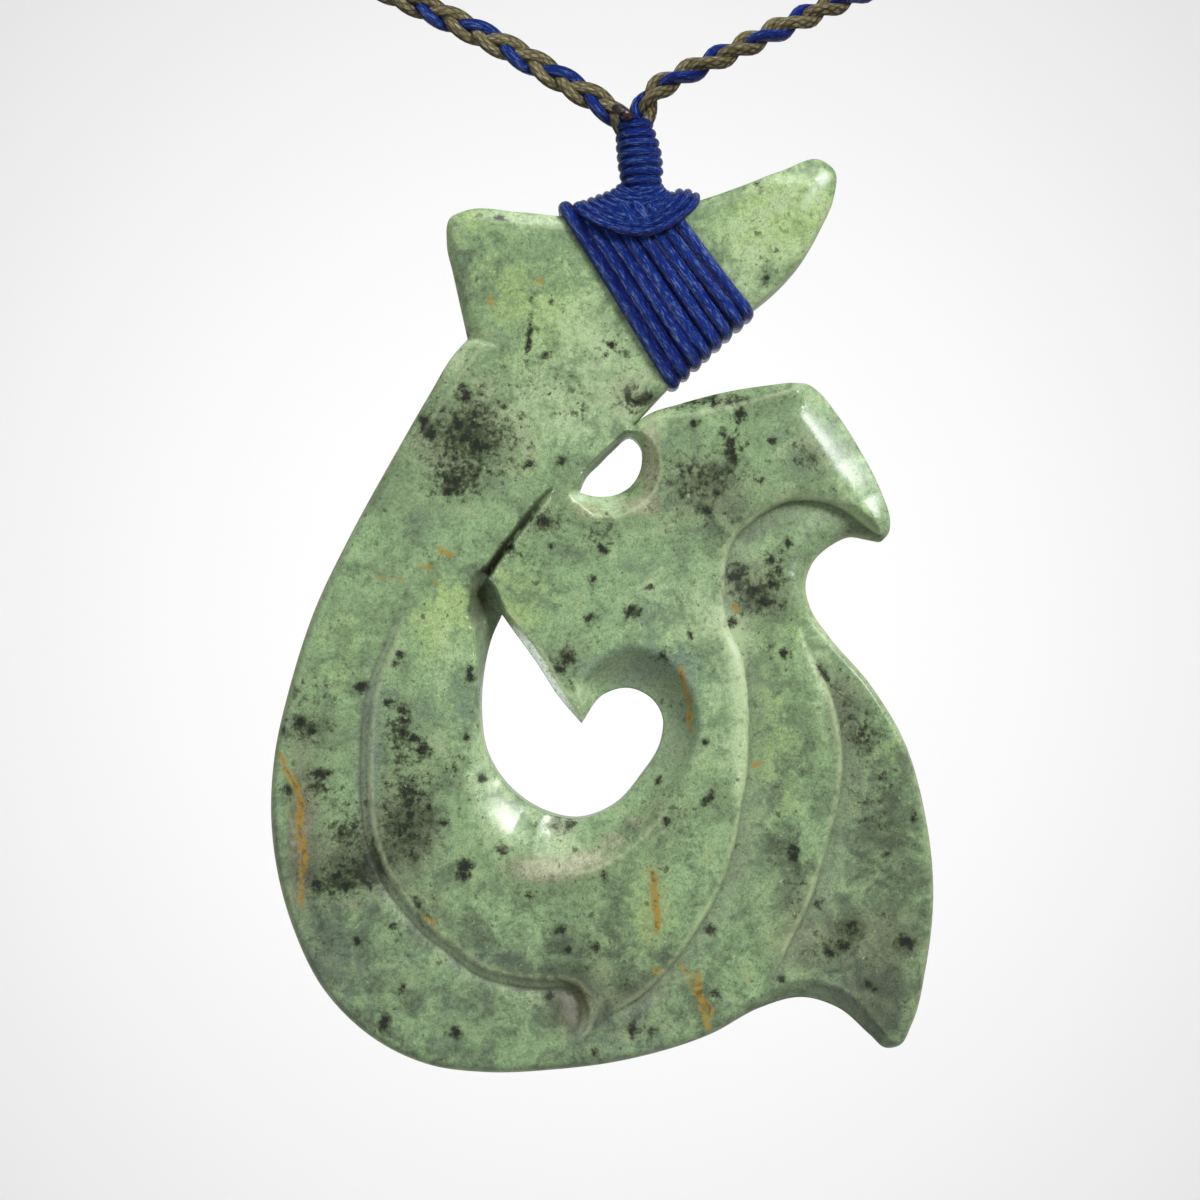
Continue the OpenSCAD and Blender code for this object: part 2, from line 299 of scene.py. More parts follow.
def makeLashing():
    # Turn t follows a rounded rectangle in depth and height, and runs on to the next behind the stone
    half, corner = 0.5 * (lashing["top"][0] - lashing["foot"][0]), lashing["corner"]
    a = np.linspace(0, np.pi / 2, lashing["cornerSamples"])
    ry, rw = corner / lashing["depth"], corner / half
    quarter = np.stack([1 - ry + ry * np.cos(a), 1 - rw + rw * np.sin(a)], 1)
    upper = np.vstack([quarter, quarter[::-1] * [-1, 1]])
    ring = np.vstack([[[1, 0]], upper, -upper, [[1, 0]]])
    ringWay = lengthsAlong(ring * [lashing["depth"], half])
    t = np.linspace(0, lashing["turns"], lashing["turns"] * lashing["samples"] + 1)
    turn = np.minimum(np.floor(t), lashing["turns"] - 1)
    part = t - turn
    f = part * ringWay[-1]
    y, b = np.interp(f, ringWay, ring[:, 0]), np.interp(f, ringWay, ring[:, 1])
    crossing = lashing["crossing"]
    slope, last = 0.5 / crossing, 1 - crossing
    step = np.where(part < crossing, -0.5 + part * slope, np.where(part > last, (part - last) * slope, 0))
    i = np.clip(turn + step, 0, lashing["turns"] - 1)
    share = i / (lashing["turns"] - 1)
    high, low = between(lashing["top"], share), between(lashing["foot"], share)
    up = (b + 1) / 2
    wave = lashing["uneven"] * ripples(i, b, lashing["ripples"])
    u = between(lashing["footAt"], share) * (1 - up) + between(lashing["topAt"], share) * up + wave
    line = fromLash(np.stack([u, lashing["depth"] * y + wave * np.sign(y), low + (high - low) * up], 1))
    line = evenly(line, lashing["gap"])
    centre = fromLash([lashing["middle"]])
    piece = tube("lashing_cord", line, lashing["cord"] / 2, lashing["sides"], line - centre)
    print("lashing cord")
    finished(piece, "lashing")


makeLashing()


# Saddle: nested turns over the stone's upper edge, in front and behind

saddle = {
    # For each turn, outermost first: left end across and up, right end across and up, lowest point, and
    # reach to the front
    "turns": [
        (-4.45, -7.35, 4.6, -6.4, -9.3, 4.6), (-4.0, -6.95, 4.0, -6.1, -8.78, 4.2),
        (-3.4, -6.7, 3.35, -6.05, -8.24, 3.76), (-2.8, -6.45, 2.75, -6.25, -7.7, 3.28),
        (-2.2, -6.2, 2.35, -6.1, -7.17, 2.78), (-1.65, -5.95, 2.05, -5.85, -6.66, 2.26),
        (-1.2, -5.6, 1.85, -5.55, -6.2, 1.8),
    ],
    # Points down the front from the left end: share of the span, of the reach and of the left drop; then
    # the same from the right end
    "leftFront": ((0.06, 0.9, 0.3), (0.22, 1, 0.68)),
    "rightFront": ((0.17, 1, 0.66), (0.03, 0.9, 0.28)),
    # Lowest points: share of the span, and of the left and then the right drop above the lowest point
    "leftLow": (0.42, 0.04),
    "rightLow": (0.62, 0.03),
    "shoulder": 0.02,
    "shoulderReach": 0.5,
    "crest": 0.08,
    "facing": (0.35, 1, 0),
    "lift": 0.45,
    "cord": 0.76,
    "flat": 0.95,
    "gap": 0.35,
    "sides": 12,
}


def makeSaddle():
    # Each turn is a closed curve: over the edge at its left end, down in front, up over its right end, and
    # the same behind
    shoulder, crest = saddle["shoulder"], saddle["crest"]
    leftLow, leftRise = saddle["leftLow"]
    rightLow, rightRise = saddle["rightLow"]
    for n, (left, leftUp, right, rightUp, low, reach) in enumerate(saddle["turns"]):
        span, dropLeft, dropRight = right - left, leftUp - low, rightUp - low
        edge = -saddle["shoulderReach"] * reach
        front = [
            (left + shoulder, edge, leftUp - shoulder),
            *[(left + a * span, -b * reach, leftUp - c * dropLeft) for a, b, c in saddle["leftFront"]],
            (left + leftLow * span, -reach, low + leftRise * dropLeft),
            (left + rightLow * span, -reach, low + rightRise * dropRight),
            *[(right - a * span, -b * reach, rightUp - c * dropRight) for a, b, c in saddle["rightFront"]],
            (right, edge, rightUp - shoulder),
        ]
        back = [(x, -y, z) for x, y, z in front[::-1]]
        rows = [(left, 0, leftUp + crest), *front, (right, 0, rightUp + crest), *back]
        line = smoothThrough(rows, saddle["gap"], closed=True)
        outward = line * saddle["facing"] + [0, 0, saddle["lift"] * reach]
        name = f"saddle_turn_{n + 1}"
        piece = tube(name, line, saddle["cord"] / 2, saddle["sides"], outward, saddle["flat"], closed=True)
        finished(piece, "saddle_turns")
    print("saddle", len(saddle["turns"]), "turns")


makeSaddle()


# Whipping: the upright column of turns that grips both arms of the plait

whipping = {
    # Up, across, back and radius of the turns' centreline, from the foot
    "column": [
        (-6.1, 0.55, 0.0, 1.25), (-5.5, 0.47, 0.0, 1.3), (-4.9, 0.43, 0.0, 1.22), (-4.2, 0.4, 0.05, 1.36),
        (-3.1, 0.32, 0.12, 1.4), (-2.2, 0.18, 0.2, 1.34), (-1.2, 0.0, 0.3, 1.18), (-0.1, -0.1, 0.4, 0.95),
    ],
    "from": -6.1,
    "to": -0.1,
    "turns": 8.2,
    "lastAngle": -50.0,  # degrees from the front to the cord's end, to the right
    "arch": 0.2,  # the front of each turn stands this much higher
    "cord": 0.82,
    "samples": 26,  # of one turn
    "sides": 14,
}


def makeWhipping():
    # Helix: (cx + r sin q, cy - r cos q, z + arch cos q), r and the centre changing with height
    last = math.radians(whipping["lastAngle"])
    samples = int(whipping["turns"] * whipping["samples"])
    q = np.linspace(last - 2 * np.pi * whipping["turns"], last, samples)
    z = np.linspace(whipping["from"], whipping["to"], len(q))
    up, cx, cy, r = np.array(whipping["column"]).T
    r, cx, cy = np.interp(z, up, r), np.interp(z, up, cx), np.interp(z, up, cy)
    line = np.stack([cx + r * np.sin(q), cy - r * np.cos(q), z + whipping["arch"] * np.cos(q)], 1)
    outward = np.stack([np.sin(q), -np.cos(q), 0 * q], 1)
    piece = tube("whipping_cord", line, whipping["cord"] / 2, whipping["sides"], outward)
    print("whipping")
    finished(piece, "whipping")


makeWhipping()


# Melted end of the binding cord, a dark shrunken bead on a short stub

cordEnd = {
    "route": [(-0.5, -1.0, -0.1), (-0.8, -1.25, 0.15), (-1.15, -1.35, 0.38), (-1.5, -1.28, 0.56)],
    "radius": (0.38, 0.42, 0.44, 0.36),
    "lumps": ((0.07, 9), (0.04, 23)),  # height and rate
    "gap": 0.06,
    "sides": 16,
}


def makeCordEnd():
    # Radius = table along the route, times 1 + the lumps' height sin(rate t)
    line = smoothThrough(cordEnd["route"], cordEnd["gap"])
    t = np.linspace(0, 1, len(line))
    lumps = sum((height * np.sin(rate * t) for height, rate in cordEnd["lumps"]), start=1)
    radius = np.interp(t, np.linspace(0, 1, len(cordEnd["radius"])), cordEnd["radius"]) * lumps
    piece = tube("cord_end_bead", line, radius, cordEnd["sides"], np.tile([0.0, -1.0, 0.0], (len(line), 1)))
    print("cord end")
    finished(piece, "cord_end")


makeCordEnd()


# Stone: the carved front, a plain polished back, and rolled or chamfered edges between them

usualStep = {
    "side": 1,  # low on the left of the way, or on its right with -1
    "deep": 1.0,  # share of the rows' depth
    "foot": 0.2,  # reach of the wall
    "round": 1.5,  # width of the rounded upper edge
    "rolled": 0.5,  # its share of the depth
    "power": 1.3,  # of the low side's curve
    "dusk": 0.5,  # share of the reach over which the painted shade below the step fades out
    "band": 0.3,  # strength of the painted shade on the wall
}

stone = {
    "half": 3.5,  # half thickness
    "thinnest": 0.5,  # least height of the front above the middle plane
    "seat": 3.1,  # half thickness under the lashing
    "cordInside": 0.5,  # from the turns' centreline in to the waist
    "waistMargin": 0.2,  # of the cord, by which the waist is wider than the turns
    "edgeGap": 0.3,
    "faceGap": 0.36,
    "dip": 0.12,  # the front's mean stands this much below the half thickness
    "backDip": 0.05,
    "wave": 0.09,  # unevenness of the hand-polished face
    "ripples": ((1, 0.23, 0.31, 0), (0.7, 0.43, -0.19, 1), (0.4, 0, 0.7, 2)),
    "backRoll": 1.1,
    "seatMargin": 1,  # the seat's flats run on this far past the turns
    "pullLimit": 1.4,
    "outlineGap": 0.25,
    "outlineEven": 0.24,
    "rowShare": 0.866,  # height of a row of the face's grid, as a share of its gap
    "ringClear": 0.035,
    "gridClear": 0.16,
    "merge": 1e-5,
    "wallLevels": (0.25, 0.5, 0.75),
    # Lines of points beside a step in millimetres, and beside an edge and a slit in their widths
    "besideStep": (-0.5, -0.32, -0.19, -0.09, 0.3, 0.5, 0.8),
    "besideEdge": (0.04, 0.1, 0.2, 0.34, 0.5, 0.68, 0.86, 1.0, 1.06),
    "besideSlit": (0.3, 0.6, 1.0, 1.12),
    # Outline: across, up, and 1 at a sharp corner
    "outline": [
        (-14.6, -10, 0), (-14.3, -8, 0), (-13.2, -7.5, 0), (-9, -7.6, 0), (-5.8, -7.9, 0), (4.8, -6.7, 0),
        (7.8, -5.7, 0), (11.2, -4.4, 0), (14.3, -3.5, 0), (15.35, -4.3, 0), (15.3, -6.4, 0),
        (14.3, -8.8, 0), (12.8, -11.4, 0), (10.5, -13.9, 0), (9, -15.1, 0), (2.7, -20.9, 0),
        (-0.3, -24.1, 1), (0.9, -23.2, 0), (3.3, -22.4, 0), (6.7, -21.5, 0), (10.1, -20.95, 0),
        (12.4, -20.75, 0), (13.3, -20.85, 0), (14.05, -21.35, 0), (15.5, -23.1, 0), (17.4, -26.1, 0),
        (18.85, -29.0, 0), (19.6, -31.5, 0), (19.55, -32.2, 0), (19.0, -33.0, 1), (18.0, -32.8, 0),
        (16.8, -32.6, 0), (15.1, -33.3, 0), (13.7, -34.6, 0), (13.1, -36.4, 0), (13.5, -38.2, 0),
        (14.9, -40.3, 0), (18, -43.9, 0), (20.7, -48.4, 0), (22.3, -54, 0), (22.95, -59.8, 0),
        (22.35, -66, 0), (21.3, -70.2, 0), (20.3, -71.9, 0), (19.3, -72.1, 0), (18.1, -71.1, 0),
        (15.7, -69.05, 0), (12.9, -68.2, 0), (9.6, -69.0, 0), (5.9, -70.95, 0), (-1.2, -73.05, 0),
        (-6, -73.7, 0), (-11.5, -73.95, 0), (-16, -73.35, 0), (-19.85, -71.6, 0), (-24.15, -67.5, 0),
        (-26.3, -63.2, 0), (-27.6, -58.8, 0), (-28.15, -54.2, 0), (-27.9, -49.5, 0), (-26.75, -44.3, 0),
        (-24.8, -38.3, 0), (-22.25, -32.9, 0), (-18.45, -26, 0), (-15.9, -21.6, 0), (-14.0, -18.5, 0),
        (-13.0, -17.4, 1), (-13.4, -15.6, 0), (-14.1, -12.4, 0),
    ],
    "smallHole": [
        (-0.4, -24.9, 0), (0.4, -25.7, 0), (0.5, -26.7, 0), (-0.4, -28.7, 0), (-1.7, -29.4, 0),
        (-3, -29.5, 0), (-4.4, -29.2, 1), (-3.8, -27.9, 0), (-2.9, -27, 0), (-1.8, -25.9, 0),
    ],
    "largeHole": [
        (-10.4, -38.6, 1), (-11.2, -40.4, 0), (-11.8, -43, 0), (-12, -46, 0), (-11.5, -49.4, 0),
        (-10.2, -51.6, 0), (-7.2, -53.85, 0), (-4.6, -54.45, 0), (-1.5, -53.3, 0), (0.35, -51.2, 0),
        (1.95, -48.5, 0), (2.1, -46.6, 0), (1.3, -45.2, 0), (-0.6, -44.3, 0), (-2.5, -44.8, 0),
        (-4.2, -47, 1), (-5.9, -45, 0), (-7.6, -42.4, 0),
    ],
    # Edge of each loop at places on it: across, up, width, drop, form from 1 rolled over 0 flat to -1
    # hollow, and shade: painted light from 1 pale, painted shade to -1 dark, painted reflection above 1
    "outlineEdge": [
        (-14.6, -10, 1.3, 1.0, 0.8, 0.1), (-14.2, -8, 1.1, 0.8, 0.6, 0.3), (-12, -7.5, 0.95, 0.6, 0.1, 0.5),
        (-6.5, -7.8, 0.95, 0.6, 0.1, 0.5), (-2, -7.4, 0.8, 0.8, 0.8, 0), (4.8, -6.7, 0.8, 0.7, 0.3, 0.3),
        (7.8, -5.7, 0.85, 0.7, 0.15, 0.4), (10.6, -4.7, 0.85, 0.7, 0.15, 0.4),
        (12.2, -4.2, 1.8, 1.2, 0.3, 0.2), (13.3, -3.85, 2.6, 1.5, 0.4, 0), (14.3, -3.5, 2.6, 1.5, 0.4, 0),
        (15.35, -4.3, 2.6, 1.5, 0.4, 0), (15.3, -6.4, 2.4, 1.4, 0.5, 0), (14.3, -8.8, 1.8, 1.3, 0.8, 0),
        (12.8, -11.4, 1.0, 1.0, 0.9, 0), (9, -15.1, 0.8, 0.9, 0.9, 0), (2.7, -20.9, 0.8, 0.9, 0.9, -0.2),
        (-0.3, -24.0, 0.4, 0.8, 0.3, -0.2), (1.2, -23.1, 0.6, 0.8, 0.1, 0.1),
        (4.3, -22.1, 1.2, 1.1, 0.05, 0.15), (7.2, -21.4, 1.35, 1.2, 0.05, 0.25),
        (10.8, -20.8, 0.8, 0.9, 0.1, 0.5), (12.5, -20.7, 0.8, 0.8, 0.6, 0.3),
        (13.4, -21.2, 2.6, 1.2, 0.05, 0.1), (14.5, -21.9, 2.8, 1.35, 0, 0.05),
        (15.5, -23.1, 2.85, 1.33, 0, 0), (17.4, -26.1, 3.0, 1.22, 0, 0), (18.85, -29, 2.4, 0.9, 0, 0),
        (19.5, -31.6, 1.0, 0.6, 0.2, 0), (19.1, -32.7, 0.6, 0.9, 0.4, -0.2),
        (18.2, -32.85, 1.4, 1.6, 0.5, -0.8), (16.8, -32.6, 3.0, 2.3, 0.75, -0.6),
        (15.1, -33.3, 3.2, 2.1, 0.8, -0.3), (13.7, -34.6, 2.4, 1.6, 0.8, 0),
        (13.1, -36.4, 1.4, 1.2, 0.9, 0), (14.9, -40.3, 0.7, 0.8, 0.9, 0), (17.8, -44, 0.6, 0.8, 0.9, 0),
        (22.9, -59.8, 0.6, 0.8, 0.9, 0), (22.3, -66, 0.7, 0.9, 0.9, 0), (20.3, -71.8, 0.8, 1.0, 0.9, -0.2),
        (19.4, -71.9, 0.9, 1.3, 0.5, -0.4), (18.2, -70.7, 1.1, 1.4, 0.1, -0.5),
        (15.8, -68.7, 1.5, 1.6, -0.1, -0.5), (13, -67.9, 1.6, 1.6, -0.1, -0.5),
        (9.5, -68.6, 1.0, 1.2, 0.4, -0.3), (5.5, -70.6, 0.7, 0.9, 0.9, 0), (-6, -73.5, 0.8, 1.0, 1, 0),
        (-27.6, -58.8, 0.8, 1.0, 1, 0), (-24.3, -38.3, 0.9, 1.0, 0.9, 0), (-18.2, -26, 1.1, 1.0, 0.6, 0.1),
        (-15.5, -21.6, 1.3, 0.9, 0.2, 0.5), (-13.6, -18.5, 1.4, 0.9, 0.15, 0.6),
        (-12.7, -17.5, 1.2, 0.9, 0.3, 0.3), (-13.2, -15.6, 1.4, 1.2, 0.8, 0.1),
    ],
    "smallHoleEdge": [
        (-0.4, -24.9, 0.5, 1.4, 0, -0.1), (0.5, -26.2, 1.35, 1.8, 0, 0.7), (0.0, -28.2, 1.7, 1.9, 0, 0.75),
        (-1.0, -29.1, 1.6, 2.2, 0, 0.6), (-1.7, -29.4, 1.7, 2.3, -0.1, 0.9),
        (-3, -29.5, 1.5, 2.3, -0.1, 0.8), (-4.2, -29.2, 0.9, 1.3, 0, 1), (-4.2, -28.7, 0.3, 1.6, 0, -0.4),
        (-3.8, -27.9, 0.4, 1.8, 0, -1), (-2.9, -27, 0.5, 2.6, 0, -1), (-1.8, -25.9, 0.45, 2.4, 0, -1),
    ],
    "largeHoleEdge": [
        (-10.4, -38.62, 0.2, 2.0, 0, -0.7), (-10.2, -38.95, 0.5, 2.6, 0, -0.7),
        (-9.6, -39.8, 0.6, 0.5, 0, 2.4), (-8.6, -41.1, 0.75, 0.25, 0, 3.2),
        (-7.6, -42.4, 0.75, 0.2, 0, 3.2), (-5.9, -45, 0.65, 0.2, 0, 3.2), (-4.5, -46.7, 0.45, 0.4, 0, 2.0),
        (-3.9, -46.5, 0.5, 1.3, -0.4, 0.4), (-3.3, -45.8, 1.3, 1.6, -0.6, 0.2),
        (-2.5, -44.8, 2.3, 1.9, -0.7, -0.35), (-0.6, -44.3, 3.5, 2.0, -0.8, -0.75),
        (1.2, -45.2, 3.1, 2.0, -0.8, -0.7), (1.9, -46.6, 2.9, 1.9, -0.8, -0.65),
        (1.7, -48.6, 2.9, 1.7, -0.8, -0.6), (0.35, -51.2, 3.0, 1.6, -0.8, -0.4),
        (-1.5, -53.3, 3.2, 1.5, -0.6, 0.1), (-4.6, -54.45, 4.1, 1.5, -0.3, 0.35),
        (-7.2, -53.8, 4.0, 1.35, 0.1, 0.1), (-8.3, -53.2, 3.9, 1.95, 0.05, 0.05),
        (-10.2, -51.6, 3.4, 1.4, 0.05, 0), (-11.5, -49.4, 2.0, 1.6, 0.3, 0), (-12, -46, 0.8, 1.4, 0.6, 0),
        (-11.95, -44.2, 0.35, 1.8, 0.3, -0.5), (-11.65, -42.1, 0.75, 2.6, 0, -0.9),
        (-11.1, -40.2, 1.7, 2.9, 0, -1), (-10.6, -39.05, 2.5, 2.9, 0, -1),
    ],
    # Carved steps, each with what differs from the usual: across, up, depth, and reach of the low side
    "steps": [
        {  # head and inner fold
            **usualStep, "foot": 0.17,
            "rows": [
                (18.7, -32.4, 0.9, 1.5), (17.6, -31.6, 1.1, 2), (16.3, -30.6, 1.3, 2.5), (15, -30, 1.4, 3),
                (13.3, -29.7, 1.45, 3), (11.5, -29.9, 1.4, 3), (10, -30.6, 1.35, 3), (8.7, -31.6, 1.25, 3),
                (7.75, -32.5, 1.15, 3), (7.1, -33.7, 1.0, 3), (6.8, -35.8, 0.85, 2.8), (6.7, -38, 0.8, 2.8),
                (7.1, -39.8, 0.8, 2.8), (8, -41.8, 0.85, 3), (8.5, -44.5, 0.95, 3.2),
                (8.6, -47.7, 1.0, 3.4), (8.5, -50.5, 1.0, 3.4), (8.15, -52.8, 1.0, 3.4),
                (7.5, -56.4, 0.95, 3.2), (6.5, -59.4, 0.9, 3.2), (4.5, -63.1, 0.9, 3), (2.4, -65.9, 0.8, 3),
                (0.5, -67.8, 0.65, 2.6), (-1.5, -69.1, 0.35, 2.4), (-3.3, -70.3, 0.05, 2),
            ],
        },
        {  # outer fold
            **usualStep, "round": 1.3,
            "rows": [
                (12, -38.3, 0.0, 2.5), (12.7, -40.1, 0.25, 2.5), (13.7, -42.4, 0.6, 2.6),
                (14.6, -44.1, 0.8, 2.8), (15.2, -45.7, 0.85, 3), (15.6, -47.4, 0.9, 3.2),
                (15.8, -49.3, 0.95, 3.4), (15.8, -51, 0.95, 3.4), (15.6, -52.5, 0.95, 3.4),
                (14.6, -56.5, 0.95, 3.4), (13.2, -61, 0.85, 3.2), (11.8, -63.8, 0.7, 3),
                (11, -65.5, 0.5, 2.6), (10.2, -66.9, 0.25, 2.2),
            ],
        },
        {  # left groove and its curl
            **usualStep, "side": -1, "deep": 0.9, "foot": 0.75, "round": 0.4, "rolled": 0.2,
            "power": 1.7, "dusk": 0.12, "band": 1.0,
            "rows": [
                (-17.6, -37.8, 0.0, 1.2), (-18.1, -39.8, 0.4, 1.2), (-18.7, -41.3, 0.55, 1.2),
                (-19.6, -43.4, 0.65, 1.2), (-20.2, -45.6, 0.6, 1.25), (-20.4, -47.7, 0.7, 1.3),
                (-20.5, -49.9, 0.72, 1.3), (-20.5, -51.8, 0.75, 1.3), (-20.4, -53.6, 0.75, 1.3),
                (-20.2, -55.3, 0.75, 1.35), (-19.6, -57.2, 0.75, 1.4), (-18.8, -59, 0.75, 1.5),
                (-17.7, -60.6, 0.72, 1.5), (-16.6, -61.9, 0.7, 1.5), (-15.5, -63, 0.7, 1.5),
                (-14.2, -63.9, 0.7, 1.5), (-13, -64.9, 0.7, 1.4), (-11.7, -65.8, 0.7, 1.4),
                (-10.1, -66.3, 0.75, 1.4), (-8.4, -66.6, 0.85, 1.4), (-6.7, -66.7, 1.0, 1.5),
                (-5.4, -66.7, 1.05, 1.4), (-4.5, -67.1, 1.1, 1.3), (-3.8, -68, 1.1, 1.3),
                (-3.5, -69.3, 0.95, 1.2), (-3.7, -70.4, 0.6, 1.0), (-4.3, -71.2, 0.35, 0.9),
                (-5.2, -71.6, 0.0, 0.8),
            ],
        },
        {  # shoulder
            **usualStep, "deep": 0.8, "round": 0.6, "rolled": 0.3, "power": 1.5, "band": 0.0,
            "rows": [(-12.5, -17.5, 1.0, 1.7), (-11.5, -17.75, 0.6, 1.6), (-10.3, -18.2, 0.0, 1.3)],
        },
        {  # shallow fold
            **usualStep, "deep": 0.6, "foot": 0.3, "round": 1.4, "power": 1.5, "band": 0.0,
            "rows": [
                (8.9, -55.5, 0, 1.2), (9.1, -57.5, 0.16, 1.4), (9.4, -61.5, 0.18, 1.4), (9.5, -65, 0, 1.2),
            ],
        },
    ],
    # Slit between head and stem, then the pocket under it: across, up, depth, width on the stem's side and
    # on the head's
    "slits": [
        [
            (-6.35, -28.85, 0.0, 0.2, 0.12), (-7.1, -29.7, 0.9, 0.4, 0.6), (-8.15, -31.05, 1.5, 0.48, 0.6),
            (-9.2, -32.4, 1.9, 0.5, 0.58), (-10.35, -34.0, 2.4, 0.56, 0.5), (-11.5, -35.7, 2.9, 0.7, 0.4),
        ],
        [
            (-11.2, -35.25, 2.9, 0.6, 0.2), (-11.55, -35.8, 2.9, 0.9, 0.25), (-11.3, -36.4, 2.7, 1.6, 0.4),
            (-10.85, -37.4, 2.5, 2.3, 0.5), (-10.36, -38.62, 2.4, 2.6, 0.5),
        ],
    ],
}


# How the front and its masks of painted light and shade follow the distance from an edge, step or slit, in
# millimetres

carve = {
    # Share of an edge's width in which its profile starts smoothly: a hollow one's, and for the others its
    # bounds, rising with the width above the narrow
    "hollowEase": 0.08,
    "narrow": 2.1,
    "ease": (0.2, 0.5),
    "shadeRise": 3,  # of an edge's painted light and shade, for a millimetre
    "crease": 0.2,  # width of the pale line, painted highlight in part, where a flat edge meets the face
    "creaseForm": 0.7,  # form of the edge at which this line has faded out
    "creasePale": 0.65,  # its strength where the edge has no shade
    "rolledRim": 0.3,  # width of the pale line along a rolled edge's rim, painted highlight in part
    "rolledPale": 0.8,
    "rolledForm": 0.5,  # form above which an edge has this line
    "underFrom": 0.02,  # distance past a step's line at which its low side starts
    "stepRim": 0.38,  # width of the pale line along the upper edge of a step, painted highlight in part
    "stepRimRise": 1.6,  # of its strength, for a millimetre of depth
    "stepRimPale": 0.8,
    "upperPale": 0.9,  # painted light on the rounded upper edge
    "bandBlur": 0.2,  # width in which the painted shade band on a step's wall ends
    "bandRise": 2,  # of its strength, for a millimetre of depth
    "bandDark": 0.75,
    "footLine": 0.12,  # width of the painted shade line at a step's foot
    "footRise": 1.2,  # of its strength, for a millimetre of depth
    "footDark": 0.8,
    "slitEnd": 0.2,  # reach of a slit past the ends of its line
    "headPower": 2.5,  # of the slit's curve on the head's side
    "slitDeep": 1.6,  # depth at which the slit's painted shade is full
    "headDark": 0.1,  # strength of the painted shade on the head's side, where the stem's side has 1
    "headPale": 1.2,  # painted light on the wall on the head's side, which lies in the slit's shade
    "pocketRise": 8,  # of the pocket's painted shade, for the whole width of a side
    "backRim": 0.4,  # width of the pale line along the back's rim, painted highlight in part
    "backPale": 0.7,
}


def loopThrough(rows, gap):
    # Closed smooth curve through the rows, broken at the rows with a 1
    rows = np.asarray(rows, float)
    corners = np.flatnonzero(rows[:, 2])
    if len(corners) == 0:
        return smoothThrough(rows[:, :2], gap, closed=True)
    rows = np.roll(rows, -corners[0], 0)
    ends = np.r_[np.flatnonzero(rows[:, 2]), len(rows)]
    spots = np.vstack([rows[:, :2], rows[:1, :2]])
    return np.vstack([smoothThrough(spots[a : b + 1], gap)[:-1] for a, b in zip(ends[:-1], ends[1:])])


blockSize = 3000  # points that are measured against a line at a time


def inside(points, loop):
    # Odd number of the loop's sides crossed by the ray to the right
    a, b = loop, np.roll(loop, -1, 0)
    out = []
    for block in np.array_split(points, max(1, len(points) // blockSize)):
        x, z = block[:, :1], block[:, 1:]
        cross = (a[:, 1] > z) != (b[:, 1] > z)
        rise = np.where(b[:, 1] == a[:, 1], 1e-9, b[:, 1] - a[:, 1])
        at = a[:, 0] + (z - a[:, 1]) * (b[:, 0] - a[:, 0]) / rise
        out.append((cross & (x < at)).sum(1) % 2 == 1)
    return np.concatenate(out)


def nearest(points, line, closed=False):
    # For each point the distance to the line, the place along it in samples, and +1 on the left of its way
    a = line if closed else line[:-1]
    b = np.roll(line, -1, 0) if closed else line[1:]
    way = b - a
    size = (way**2).sum(1)
    far, at, side = [], [], []
    for block in np.array_split(points, max(1, len(points) // blockSize)):
        dx, dz = block[:, :1] - a[:, 0], block[:, 1:] - a[:, 1]
        t = np.clip((dx * way[:, 0] + dz * way[:, 1]) / size, 0, 1)
        gap = (dx - t * way[:, 0]) ** 2 + (dz - t * way[:, 1]) ** 2
        k = gap.argmin(1)
        row = np.arange(len(block))
        far.append(np.sqrt(gap[row, k]))
        at.append(k + t[row, k])
        side.append(np.sign(way[k, 0] * dz[row, k] - way[k, 1] * dx[row, k]))
    return np.concatenate(far), np.concatenate(at), np.concatenate(side)


def valuesOn(loop, rows):
    # Values of a table of places at every sample of a loop, linear between the samples nearest to its rows
    rows = np.asarray(rows, float)
    at = ((loop[None] - rows[:, None, :2]) ** 2).sum(2).argmin(1)
    order = np.argsort(at)
    n, columns = np.arange(len(loop)), rows[order, 2:].T
    return np.stack([np.interp(n, at[order], column, period=len(loop)) for column in columns], 1)


def along(values, at, closed=False):
    # Values of the samples at fractional places, which go round a loop and stop short of an open line's end
    at = at if closed else np.minimum(at, len(values) - 1.001)
    k = np.floor(at).astype(int)
    t = (at - k)[:, None]
    return values[k % len(values)] * (1 - t) + values[(k + 1) % len(values)] * t


def capped(x):
    # x held between 0 and 1
    return np.clip(x, 0, 1)


def bell(distance, size):
    # e^-(distance / size)^2
    return np.exp(-((distance / size) ** 2))


def edgeDrop(share, form):
    # share 1 at the rim, 0 inside: round 1 - sqrt(1 - share^2), flat share, hollow 2 share - share^2
    rolled, hollow = 1 - np.sqrt(capped(1 - share**2)), 2 * share - share**2
    return np.where(form > 0, form * rolled, -form * hollow) + (1 - np.abs(form)) * share


def lashPlace(points):
    # Whether a point lies under the turns, its height along them, and the waist's lowest and highest there
    tilt = math.radians(lashing["tilt"])
    u = points[:, 0] * math.cos(tilt) - points[:, 1] * math.sin(tilt)
    w = points[:, 0] * math.sin(tilt) + points[:, 1] * math.cos(tilt)
    first, last = (
        np.interp(w, [lashing["foot"][k], lashing["top"][k]], [lashing["footAt"][k], lashing["topAt"][k]])
        for k in (0, 1)
    )
    share = (u - first) / (last - first)
    margin = stone["waistMargin"] * lashing["cord"] / (last - first)
    within = (share > -margin) & (share < 1 + margin)
    share, inset = capped(share), stone["cordInside"]
    return within, w, between(lashing["foot"], share) + inset, between(lashing["top"], share) - inset


def waisted(loop):
    # Outline points under the lashing pulled in to the waist
    within, w, low, high = lashPlace(loop)
    shift = np.clip(w, low, high) - w
    shift = np.where(within & (np.abs(shift) < stone["pullLimit"]), shift, 0)
    tilt = math.radians(lashing["tilt"])
    return loop + shift[:, None] * [math.sin(tilt), math.cos(tilt)]


